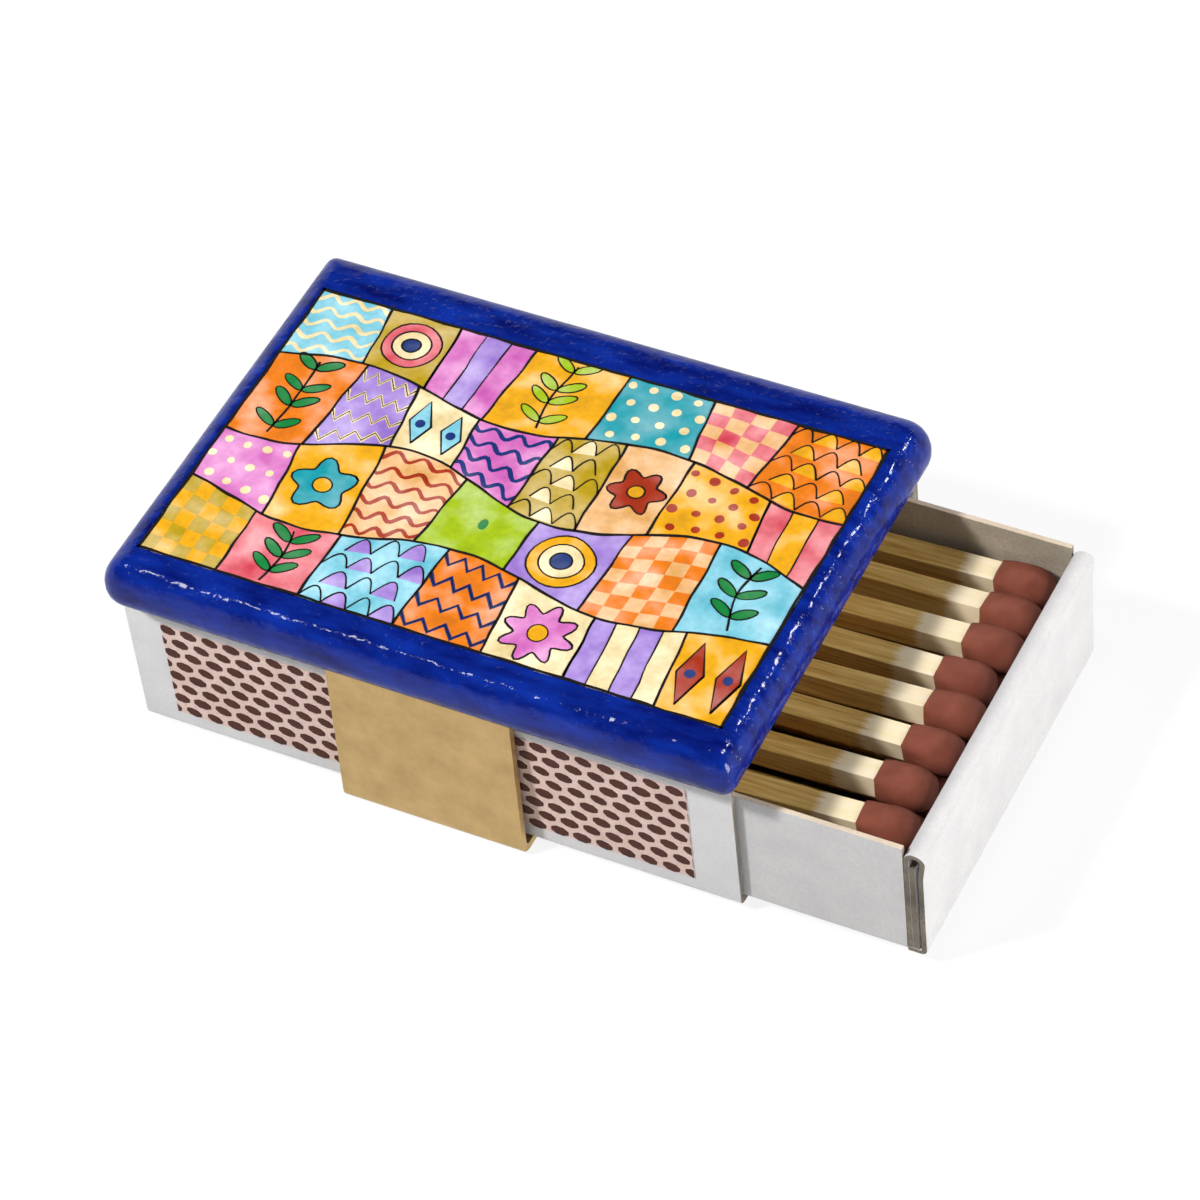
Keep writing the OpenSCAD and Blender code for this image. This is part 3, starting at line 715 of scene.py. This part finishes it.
y = add(head_group, "ShaderNodeMath", {0: radius.outputs[0], 1: cosine.outputs[0]}, operation="MULTIPLY")
z = add(head_group, "ShaderNodeMath", {0: radius.outputs[0], 1: sine.outputs[0]}, operation="MULTIPLY")
wrapped = add(head_group, "ShaderNodeCombineXYZ", {0: reach.outputs[0], 1: y.outputs[0], 2: z.outputs[0]})
head = add(head_group, "GeometryNodeSetPosition",
           {"Geometry": net.outputs["Mesh"], "Position": wrapped.outputs[0]})
head = keep_along(head_group, head.outputs[0], reach.outputs[0])
head = add(head_group, "GeometryNodeMergeByDistance", {"Geometry": head.outputs[0], "Distance": 0.001 * MM})
finished = laid_out(head_group, head.outputs[0], start, match_compound)
head_group.links.new(finished.outputs[0], end.inputs["Geometry"])


def match_places(node):
    """The tip and the turn of every match in a node of sticks, from each stick's corners."""
    bm = bmesh.new()
    bm.from_mesh(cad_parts[node].data)
    bmesh.ops.remove_doubles(bm, verts=bm.verts, dist=0.001 * MM)
    waiting = set(bm.verts)
    places = []
    while waiting:
        island = [waiting.pop()]
        for v in island:
            for other in (e.other_vert(v) for e in v.link_edges):
                if other in waiting:
                    waiting.remove(other)
                    island.append(other)
        corners = np.array([v.co for v in island])
        offsets = corners - corners.mean(0)
        axis = np.linalg.svd(offsets)[2][0]
        axis *= math.copysign(1, axis[0])
        front = corners[offsets @ axis > 0]
        rim = front - front.mean(0)
        beside = min(rim[1:], key=lambda c: abs(c @ rim[0]))
        across = max((rim[0] + beside, rim[0] - beside), key=lambda c: abs(c[1]))
        across = Vector(across).normalized() * math.copysign(1, across[1])
        axis = Vector(axis)
        turn = Matrix((axis, across, axis.cross(across))).transposed().to_euler()
        places.append((Vector(front.mean(0)) + axis * head_cap, turn))
    bm.free()
    return sorted(places, key=lambda p: p[0].y)


def match_points(name, places, first):
    """A mesh with one point for each match, which holds its turn and its number."""
    mesh = bpy.data.meshes.new(name)
    mesh.from_pydata([p[0] for p in places], [], [])
    turns = mesh.attributes.new("turn", "FLOAT_VECTOR", "POINT")
    for i, (tip, turn) in enumerate(places):
        turns.data[i].vector = turn
    numbers = mesh.attributes.new("number", "FLOAT", "POINT")
    for i in range(len(places)):
        numbers.data[i].value = (first + i) * 3.7
    return mesh


layers = [("match_stick_%d" % n, "match_head_%d" % n) for n in range(1, 9)]
layers += [("middle_sticks", "middle_heads"), ("bottom_sticks", "bottom_heads")]
count = 0
for stick_node, head_node in layers:
    places = match_places(stick_node)
    for node, group, values, slot, material in (
        (stick_node, stick_group, {"Length": stick_l, "Width": stick_w, "Cap": head_cap, "Depth": split_depth,
                                   "Grain": (1 / (5 * MM), 1 / (0.7 * MM), 1 / (0.7 * MM))}, "match_wood",
         split_aspen),
        (head_node, head_group, {"Length": head_l, "Across": head_d, "Stick": stick_w, "Depth": 0.14 * MM,
                                 "Grain": (1 / (1.6 * MM), 1 / (1.6 * MM), 1 / (1.6 * MM))}, "match_compound",
         match_compound),
    ):
        mesh = grown("shaped_" + node, group, values, material, match_points(node, places, count))
        piece = new_piece("shaped_" + node, mesh, [])
        if node == stick_node:
            mesh.shade_smooth()
            mesh.set_sharp_from_angle(angle=math.radians(35))
            soften(piece, 0.07 * MM, 60, 1)
        else:
            mesh.shade_smooth()
        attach(piece, "tray")
        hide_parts(node)
    count += len(places)


# Clip: one strip of half-hard brass sheet, bent at four places into a C that grips the matchbox.
# Its lips curl under the sleeve; the mill's fine lines still run along it, dulled by handling.
rolled_brass, tree, output = new_material("rolled_brass")
place = add(tree, "ShaderNodeTexCoord")
mill_place = add(tree, "ShaderNodeMapping",
                 {"Vector": place.outputs["Object"], "Scale": (1 / (0.12 * MM), 1 / (4 * MM), 1 / (4 * MM))})
mill = add(tree, "ShaderNodeTexNoise", {"Vector": mill_place.outputs[0], "Scale": 1.0, "Detail": 3.0})
tarnish = add(tree, "ShaderNodeTexNoise",
              {"Vector": place.outputs["Object"], "Scale": 1 / (3 * MM), "Detail": 5.0, "Roughness": 0.65})
tint = add(tree, "ShaderNodeValToRGB", {"Fac": tarnish.outputs["Fac"]})
tint.color_ramp.elements[0].position = 0.3
tint.color_ramp.elements[0].color = srgb("#b79a66")
tint.color_ramp.elements[1].position = 0.7
tint.color_ramp.elements[1].color = srgb("#d2b47f")
dull = add(tree, "ShaderNodeMapRange", {"Value": tarnish.outputs["Fac"], "To Min": 0.42, "To Max": 0.62})
bump = add(tree, "ShaderNodeBump", {"Height": mill.outputs["Fac"], "Strength": 0.25, "Distance": 0.02 * MM})
shader = add(tree, "ShaderNodeBsdfPrincipled",
             {"Base Color": tint.outputs["Color"], "Metallic": 1.0, "Roughness": dull.outputs[0],
              "Normal": bump.outputs[0]})
tree.links.new(shader.outputs[0], output.inputs["Surface"])

bm = bmesh.new()
bm.from_mesh(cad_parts["spring_clip"].data)
bmesh.ops.remove_doubles(bm, verts=bm.verts, dist=0.001 * MM)
bmesh.ops.dissolve_limit(bm, angle_limit=math.radians(1), verts=bm.verts, edges=bm.edges)
clip = new_piece("bent_clip", mesh_of(bm, "bent_clip"), [rolled_brass])
soften(clip, 0.09 * MM, 60)
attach(clip, "holder")
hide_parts("spring_clip")

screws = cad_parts["clip_screws"]
screws.data.materials.clear()
screws.data.materials.append(rolled_brass)


# Board: a small plaque of wood, its edges rolled over by hand, painted cobalt and flooded with clear lacquer.
# The lacquer pools unevenly, so lamps show in it as rows of small glints.
board_lo, board_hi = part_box("board")
board_mid = (board_lo + board_hi) / 2
picture_lo, picture_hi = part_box("picture_panel")
picture_mid = (picture_lo + picture_hi) / 2
top_roll = 2.4 * MM
bottom_roll = 1.4 * MM
board_corners = [r * MM for r in (1.2, 2.6, 1.3, 2.3)]
screw_hole_r = 0.8 * MM
screw_hole_h = 2.54 * MM
screw_y = 9 * MM
hand_wobble = 0.05 * MM


def outline(middle, half_l, half_w, radii, steps=6, per_side=(36, 26)):
    """Points round a rectangle with rounded corners, always as many, front right corner first."""
    points = []
    for turn, (sx, sy) in enumerate(((1, -1), (1, 1), (-1, 1), (-1, -1))):
        radius = radii[turn]
        centre = Vector((middle.x + sx * (half_l - radius), middle.y + sy * (half_w - radius)))
        for step in range(steps + 1):
            a = math.radians(-90 + 90 * turn + 90 * step / steps)
            points.append(centre + radius * Vector((math.cos(a), math.sin(a))))
        nx, ny = ((1, 1), (-1, 1), (-1, -1), (1, -1))[turn]
        radius = radii[(turn + 1) % 4]
        following = Vector((middle.x + nx * (half_l - radius), middle.y + ny * (half_w - radius)))
        a = math.radians(90 * turn)
        start = points[-1]
        end = following + radius * Vector((math.cos(a), math.sin(a)))
        count = per_side[(turn + 1) % 2]
        points += [start.lerp(end, i / count) for i in range(1, count)]
    return points


def bridge(bm, lower, upper):
    """Faces between two rings of as many points."""
    for i in range(len(lower)):
        j = (i + 1) % len(lower)
        bm.faces.new((lower[i], lower[j], upper[j], upper[i]))


profile = []
for step in range(6):
    a = math.radians(90 * step / 5)
    profile.append((bottom_roll * (1 - math.sin(a)), board_lo.z + bottom_roll * (1 - math.cos(a))))
last = math.acos(1 - (picture_lo.x - board_lo.x - 0.05 * MM) / top_roll)
for step in range(11):
    a = last * step / 10
    profile.append((top_roll * (1 - math.cos(a)), board_hi.z - top_roll * (1 - math.sin(a))))
half_l = (board_hi.x - board_lo.x) / 2
half_w = (board_hi.y - board_lo.y) / 2
bm = bmesh.new()
rings = []
for inset, z in profile:
    ring = []
    radii = [max(r - inset, 0.3 * MM) for r in board_corners]
    for p in outline(board_mid, half_l - inset, half_w - inset, radii):
        wander = 0.5 + 0.5 * noise.noise(Vector((p.x, p.y, z)) / (5 * MM))
        towards = (Vector((board_mid.x, board_mid.y)) - p).normalized() * hand_wobble * wander
        ring.append(bm.verts.new((p.x + towards.x, p.y + towards.y, z)))
    rings.append(ring)
seat_l = (picture_hi.x - picture_lo.x) / 2
seat_w = (picture_hi.y - picture_lo.y) / 2
for z in (board_hi.z - 0.02 * MM, picture_lo.z):
    rings.append([bm.verts.new((p.x, p.y, z)) for p in outline(picture_mid, seat_l, seat_w, [0.15 * MM] * 4)])
for lower, upper in zip(rings, rings[1:]):
    bridge(bm, lower, upper)
bm.faces.new(rings[0])
bm.faces.new(rings[-1])
solid = new_piece("board_blank", mesh_of(bm, "board_blank"), [])
bm = bmesh.new()
for y in (-screw_y, screw_y):
    bmesh.ops.create_cone(bm, cap_ends=True, segments=24, radius1=screw_hole_r, radius2=screw_hole_r,
                          depth=2 * screw_hole_h, matrix=Matrix.Translation((board_mid.x, y, board_lo.z)))
drill = new_piece("drill", mesh_of(bm, "drill"), [])
holes = solid.modifiers.new("screw_holes", "BOOLEAN")
holes.object = drill
holes.solver = "EXACT"
graph = bpy.context.evaluated_depsgraph_get()
mesh = bpy.data.meshes.new_from_object(solid.evaluated_get(graph), depsgraph=graph)
bpy.data.objects.remove(solid)
bpy.data.objects.remove(drill)
mesh.name = "painted_board"
mesh.shade_smooth()
mesh.set_sharp_from_angle(angle=math.radians(40))

cobalt_lacquer, tree, output = new_material("cobalt_paint_under_lacquer")
place = add(tree, "ShaderNodeTexCoord")
brush_place = add(tree, "ShaderNodeMapping",
                  {"Vector": place.outputs["Object"], "Scale": (1 / (4 * MM), 1 / (1.2 * MM), 1 / (1.2 * MM))})
brush = add(tree, "ShaderNodeTexNoise", {"Vector": brush_place.outputs[0], "Scale": 1.0, "Detail": 5.0})
tint = add(tree, "ShaderNodeValToRGB", {"Fac": brush.outputs["Fac"]})
tint.color_ramp.elements[0].position = 0.3
tint.color_ramp.elements[0].color = srgb("#040f5c")
tint.color_ramp.elements[1].position = 0.72
tint.color_ramp.elements[1].color = srgb("#0d2d94")
pools = add(tree, "ShaderNodeTexNoise",
            {"Vector": place.outputs["Object"], "Scale": 1 / (2.0 * MM), "Detail": 2.0, "Roughness": 0.45})
dust = add(tree, "ShaderNodeTexNoise",
           {"Vector": place.outputs["Object"], "Scale": 1 / (0.45 * MM), "Detail": 2.0, "Roughness": 0.5})
nibs = add(tree, "ShaderNodeMapRange", {"Value": dust.outputs["Fac"], "From Min": 0.58, "From Max": 0.8,
                                        "To Max": 0.2})
surface = add(tree, "ShaderNodeMath", {0: pools.outputs["Fac"], 1: nibs.outputs[0]}, operation="ADD")
bump = add(tree, "ShaderNodeBump", {"Height": surface.outputs[0], "Strength": 1.0, "Distance": 0.2 * MM})
shader = add(tree, "ShaderNodeBsdfPrincipled",
             {"Base Color": tint.outputs["Color"], "Roughness": 0.45, "Specular IOR Level": 0.0, "Coat Weight": 0.6, "Coat Roughness": 0.09,
              "Normal": bump.outputs[0], "Coat Normal": bump.outputs[0]})
tree.links.new(shader.outputs[0], output.inputs["Surface"])
board = new_piece("painted_board", mesh, [cobalt_lacquer])
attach(board, "holder")
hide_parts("board")


# Picture: a generic patchwork of wavy bands, painted in thin gouache with plain folk patterns, each patch
# ringed in black ink. Paint and ink are laid as films a few hundredths of a millimetre thick under lacquer.
film = 0.011 * MM
panel_drop = 0.06 * MM
ink_w = 0.17 * MM
hand_slip = 0.16 * MM
wave_h = 1.3 * MM
wave_l = 27 * MM
band_count = 4
hand = random.Random(11)
paints = {
    "gold": "#f0ac14", "amber": "#ea7d18", "peach": "#eebb84", "cream": "#f1dcaa", "orchid": "#d980c4",
    "lilac": "#a88bd6", "sky": "#86cbdd", "teal": "#3fa3b0", "lime": "#a6c22a", "leaf": "#1f8440",
    "khaki": "#c4a748", "brick": "#a83a26", "rose": "#e0727c", "navy": "#1b3576", "ink": "#100c0a",
}
half_x = picture_mid.x - picture_lo.x - 0.02 * MM
half_y = picture_mid.y - picture_lo.y - 0.02 * MM

bm = bmesh.new()
paint_layer = bm.loops.layers.float_color.new("paint")


def by_hand(point):
    """The place where an unsteady hand puts a point, inside the panel."""
    slip = noise.noise_vector(Vector((point[0], point[1], 0)) / (2.4 * MM)) * hand_slip
    return (min(max(point[0] + slip.x, -half_x), half_x), min(max(point[1] + slip.y, -half_y), half_y))


def lay(points, colour, level):
    """A closed film of paint with that outline; higher levels cover lower ones."""
    top_z = picture_hi.z - panel_drop + level * film
    drawn = [by_hand(p) for p in points]
    rings = [[bm.verts.new((picture_mid.x + p[0], picture_mid.y + p[1], z)) for p in drawn]
             for z in (picture_hi.z - panel_drop - film, top_z)]
    faces = [bm.faces.new(rings[0]), bm.faces.new(rings[1])]
    for i in range(len(points)):
        j = (i + 1) % len(points)
        faces.append(bm.faces.new((rings[0][i], rings[0][j], rings[1][j], rings[1][i])))
    tone = srgb(paints[colour])
    for face in faces:
        for loop in face.loops:
            loop[paint_layer] = tone


def ink(path, width=ink_w, colour="ink", level=4):
    """A brush line along a path, which swells and thins a little."""
    swell = [width * (1 + 0.45 * noise.noise(Vector((p[0], p[1], 0)) / (2.2 * MM))) for p in path]
    left = []
    right = []
    for i, p in enumerate(path):
        before = path[max(i - 1, 0)]
        after = path[min(i + 1, len(path) - 1)]
        run = Vector((after[0] - before[0], after[1] - before[1]))
        if run.length < 1e-9:
            continue
        side = Vector((-run.y, run.x)).normalized() * swell[i] / 2
        left.append((p[0] + side.x, p[1] + side.y))
        right.append((p[0] - side.x, p[1] - side.y))
    for i in range(len(left) - 1):
        lay([left[i], left[i + 1], right[i + 1], right[i]], colour, level)


def wave(band, x):
    """Height of the line under a band of patches."""
    if band == 0:
        return -half_y
    if band == band_count:
        return half_y
    even = -half_y + 2 * half_y * band / band_count
    return even + wave_h * math.sin(2 * math.pi * x / wave_l + 1.9 * band) * (1.25 if band == 2 else 0.9)


class Patch:
    """One patch: a four-sided field between two wavy lines and two slanting ones."""

    def __init__(self, band, left, right):
        self.band, self.left, self.right = band, left, right
        self.w = (right[0] + right[1] - left[0] - left[1]) / 2
        middle = (left[0] + right[1]) / 2
        self.h = wave(band + 1, middle) - wave(band, middle)

    def at(self, u, v):
        """The point a share u across and v up."""
        a = self.left[0] + (self.left[1] - self.left[0]) * v
        b = self.right[0] + (self.right[1] - self.right[0]) * v
        x = a + (b - a) * u
        low, high = wave(self.band, x), wave(self.band + 1, x)
        return (x, low + (high - low) * v)

    def field(self, u0, u1, v0, v1, steps=8):
        """The outline of a part of the patch."""
        us = [u0 + (u1 - u0) * i / steps for i in range(steps + 1)]
        vs = [v0 + (v1 - v0) * i / steps for i in range(1, steps)]
        return ([self.at(u, v0) for u in us] + [self.at(u1, v) for v in vs]
                + [self.at(u, v1) for u in reversed(us)] + [self.at(u0, v) for v in reversed(vs)])


def disc(centre, r, long=1.0, turn=0.0, points=18, lobes=0, depth=0.0):
    """A disc, oval or lobed flower about a point, r in metres."""
    made = []
    for i in range(points):
        a = 2 * math.pi * i / points
        rr = r * (1 + depth * math.cos(lobes * a))
        x, y = rr * long * math.cos(a), rr * math.sin(a)
        made.append((centre[0] + x * math.cos(turn) - y * math.sin(turn),
                     centre[1] + x * math.sin(turn) + y * math.cos(turn)))
    return made


def ring_of(points):
    """A path that runs once round an outline and closes."""
    return points + [points[0], points[1]]


def checks(patch, colour):
    """Rows of small squares, every other one painted."""
    across, up = max(3, round(patch.w / (1.5 * MM))), max(3, round(patch.h / (1.5 * MM)))
    for i in range(across):
        for j in range(up):
            if (i + j) % 2:
                lay(patch.field(i / across, (i + 1) / across, j / up, (j + 1) / up, 2), colour, 2)


def stripes(patch, colour):
    """Upright stripes with ink between them."""
    across = max(2, round(patch.w / (1.9 * MM)))
    for i in range(across):
        if i % 2:
            lay(patch.field(i / across, (i + 1) / across, 0, 1, 6), colour, 2)
        ink([patch.at(i / across, v / 8) for v in range(9)], ink_w * 0.7)


def zigzag(patch, colour):
    """Two or three zigzag lines across."""
    rows = max(2, round(patch.h / (2.3 * MM)))
    teeth = max(3, round(patch.w / (1.6 * MM)))
    for row in range(rows):
        path = [patch.at(i / (2 * teeth), (row + (0.25 if i % 2 else 0.75)) / rows) for i in range(2 * teeth + 1)]
        ink(path, 0.42 * MM, colour, 2)
        ink(path, ink_w * 0.6)


def dots(patch, colour):
    """Scattered rows of round dots."""
    across, up = max(2, round(patch.w / (1.8 * MM))), max(2, round(patch.h / (1.8 * MM)))
    for i in range(across):
        for j in range(up):
            u, v = (i + 0.5 + 0.18 * (-1) ** j) / across, (j + 0.5) / up
            lay(disc(patch.at(u, v), 0.42 * MM * hand.uniform(0.8, 1.15), points=12), colour, 2)


def scallops(patch, colour):
    """Rows of fish scales."""
    across, up = max(2, round(patch.w / (2.1 * MM))), max(2, round(patch.h / (1.9 * MM)))
    for j in range(up):
        shift = 0.5 if j % 2 else 0.0
        for i in range(across):
            arc = []
            for k in range(9):
                u = (i + shift + k / 8) / across
                if u <= 1:
                    arc.append(patch.at(u, (j + 0.12 + 0.78 * math.sin(math.pi * k / 8)) / up))
            if len(arc) > 5:
                if (i + j) % 2:
                    lay(arc, colour, 2)
                ink(arc, ink_w * 0.75)


def lozenges(patch, colour):
    """A row of diamonds, each with a dark heart."""
    across = max(1, round(patch.w / (3 * MM)))
    for i in range(across):
        u0, u1 = i / across, (i + 1) / across
        um = (u0 + u1) / 2
        shape = [patch.at(um, 0.12), patch.at(u1 - 0.08, 0.5), patch.at(um, 0.88), patch.at(u0 + 0.08, 0.5)]
        lay(shape, colour, 2)
        ink(ring_of(shape))
        lay(disc(patch.at(um, 0.5), 0.45 * MM, points=10), "navy", 3)


def flower(patch, colour):
    """A round flower with lobed petals and a ringed heart."""
    r = 0.36 * min(patch.w, patch.h)
    lobes = hand.choice((5, 6, 8))
    petals = disc(patch.at(0.5, 0.5), r, points=8 * lobes, lobes=lobes, depth=0.22, turn=hand.uniform(0, 1))
    lay(petals, colour, 2)
    ink(ring_of(petals), ink_w * 0.9)
    heart = disc(patch.at(0.5, 0.5), 0.34 * r, points=16)
    lay(heart, "gold" if colour != "gold" else "brick", 3)
    ink(ring_of(heart), ink_w * 0.8)


def leaves(patch, colour):
    """A stem with leaves in pairs."""
    tilt = hand.uniform(-0.1, 0.1)
    stem = [patch.at(0.5 + tilt * math.sin(0.3 * i), 0.08 + 0.084 * i) for i in range(11)]
    ink(stem, ink_w)
    pairs = max(2, round(patch.h / (2.4 * MM)))
    leaf_r = 0.075 * min(patch.w, 6 * MM)
    for j in range(pairs):
        root = stem[min(10, round(10 * (j + 0.45) / pairs))]
        for way in (-1, 1):
            turn = way * 0.6
            place = (root[0] + way * 2.7 * leaf_r * math.cos(turn), root[1] + 2.7 * leaf_r * math.sin(0.6))
            leaf = disc(place, leaf_r, long=2.6, turn=turn, points=14)
            lay(leaf, colour, 2)
            ink(ring_of(leaf), ink_w * 0.7)


def rings(patch, colour):
    """Rings within rings."""
    r = 0.4 * min(patch.w, patch.h)
    for k, tone in enumerate((colour, "cream", "navy")):
        ring = disc(patch.at(0.5, 0.5), r * (1 - 0.34 * k), points=24)
        lay(ring, tone, 2 + k * 0.5)
        ink(ring_of(ring), ink_w * 0.8)


def ripples(patch, colour):
    """Wavy lines across, like combed paint."""
    rows = max(3, round(patch.h / (1.5 * MM)))
    for row in range(rows):
        path = [patch.at(i / 24, (row + 0.5 + 0.26 * math.sin(i * 0.8 + row)) / rows) for i in range(25)]
        ink(path, 0.36 * MM, colour, 2)


def plain(patch, colour):
    """A bare field with one small mark."""
    lay(disc(patch.at(0.5, 0.55), 0.6 * MM, long=0.6, points=12), colour, 2)


plan = (
    (("khaki", checks, "gold"), ("rose", leaves, "leaf"), ("sky", scallops, "lilac"), ("amber", zigzag, "navy"),
     ("cream", flower, "orchid"), ("lilac", stripes, "cream"), ("gold", lozenges, "brick")),
    (("orchid", dots, "cream"), ("gold", flower, "teal"), ("peach", ripples, "brick"), ("lime", plain, "leaf"),
     ("lilac", rings, "gold"), ("amber", checks, "peach"), ("sky", leaves, "leaf")),
    (("amber", leaves, "leaf"), ("lilac", zigzag, "cream"), ("cream", lozenges, "sky"), ("orchid", ripples, "navy"),
     ("khaki", scallops, "cream"), ("peach", flower, "brick"), ("gold", dots, "brick"), ("rose", stripes, "gold")),
    (("sky", ripples, "cream"), ("khaki", rings, "rose"), ("orchid", stripes, "lilac"), ("gold", leaves, "lime"),
     ("teal", dots, "cream"), ("peach", checks, "rose"), ("amber", scallops, "gold")),
)
lay([(-half_x, -half_y), (half_x, -half_y), (half_x, half_y), (-half_x, half_y)], "cream", 0)
for band, row in enumerate(plan):
    shares = [hand.uniform(0.8, 1.25) for _ in row]
    edges = [0]
    for share in shares:
        edges.append(edges[-1] + share / sum(shares))
    slants = [0] + [hand.uniform(-1, 1) * MM for _ in row[1:]] + [0]
    sides = [(-half_x + 2 * half_x * e - s / 2, -half_x + 2 * half_x * e + s / 2) for e, s in zip(edges, slants)]
    for (colour, motif, second), left, right in zip(row, sides, sides[1:]):
        patch = Patch(band, left, right)
        lay(patch.field(0, 1, 0, 1, 12), colour, 1)
        motif(patch, second)
    for side in sides[1:-1]:
        line = Patch(band, side, side)
        ink([line.at(0, v / 10) for v in range(11)], ink_w * 1.2)
    if band:
        ink([(x, wave(band, x)) for x in spaced(-half_x, half_x, 0.5 * MM)], ink_w * 1.3)
frame_line = 0.34 * MM
for a, b in (((-1, -1), (1, -1)), ((1, -1), (1, 1)), ((1, 1), (-1, 1)), ((-1, 1), (-1, -1))):
    inset = (half_x - 0.4 * frame_line, half_y - 0.4 * frame_line)
    start, end = Vector((a[0] * inset[0], a[1] * inset[1])), Vector((b[0] * inset[0], b[1] * inset[1]))
    reach = (end - start).normalized() * frame_line / 2
    count = round((end - start).length / (0.8 * MM))
    ink([(start - reach).lerp(end + reach, i / count) for i in range(count + 1)], frame_line * 0.8, level=5)

panel = [bm.verts.new((p.x, p.y, picture_lo.z + 0.01 * MM)) for p in outline(picture_mid, seat_l, seat_w, [0.15 * MM] * 4)]
cover = [bm.verts.new((v.co.x, v.co.y, picture_hi.z - panel_drop)) for v in panel]
for face in (bm.faces.new(panel), bm.faces.new(cover)):
    for loop in face.loops:
        loop[paint_layer] = srgb(paints["ink"])
bridge(bm, panel, cover)

gouache, tree, output = new_material("gouache_under_lacquer")
place = add(tree, "ShaderNodeTexCoord")
paint = add(tree, "ShaderNodeAttribute", attribute_name="paint")
wash = add(tree, "ShaderNodeTexNoise",
           {"Vector": place.outputs["Object"], "Scale": 1 / (3.2 * MM), "Detail": 2.0})
grain = add(tree, "ShaderNodeTexNoise",
            {"Vector": place.outputs["Object"], "Scale": 1 / (0.5 * MM), "Detail": 5.0, "Roughness": 0.6})
water = add(tree, "ShaderNodeMapRange", {"Value": wash.outputs["Fac"], "From Min": 0.3, "From Max": 0.7,
                                         "To Min": 0.8, "To Max": 1.2})
thin = add(tree, "ShaderNodeMapRange", {"Value": wash.outputs["Fac"], "From Min": 0.3, "From Max": 0.7,
                                        "To Min": 1.2, "To Max": 0.75})
speckle = add(tree, "ShaderNodeMapRange", {"Value": grain.outputs["Fac"], "From Min": 0.3, "From Max": 0.7,
                                           "To Min": 0.88, "To Max": 1.08})
value = add(tree, "ShaderNodeMath", {0: water.outputs[0], 1: speckle.outputs[0]}, operation="MULTIPLY")
tint = add(tree, "ShaderNodeHueSaturation",
           {"Color": paint.outputs["Color"], "Saturation": thin.outputs[0], "Value": value.outputs[0]})
bump = add(tree, "ShaderNodeBump", {"Height": wash.outputs["Fac"], "Strength": 0.2, "Distance": 0.1 * MM})
shader = add(tree, "ShaderNodeBsdfPrincipled",
             {"Base Color": tint.outputs["Color"], "Roughness": 0.5, "Coat Weight": 0.6, "Coat Roughness": 0.12,
              "Coat Normal": bump.outputs[0]})
tree.links.new(shader.outputs[0], output.inputs["Surface"])
picture = new_piece("painted_picture", mesh_of(bm, "painted_picture", 20), [gouache])
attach(picture, "holder")
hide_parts("picture_panel")
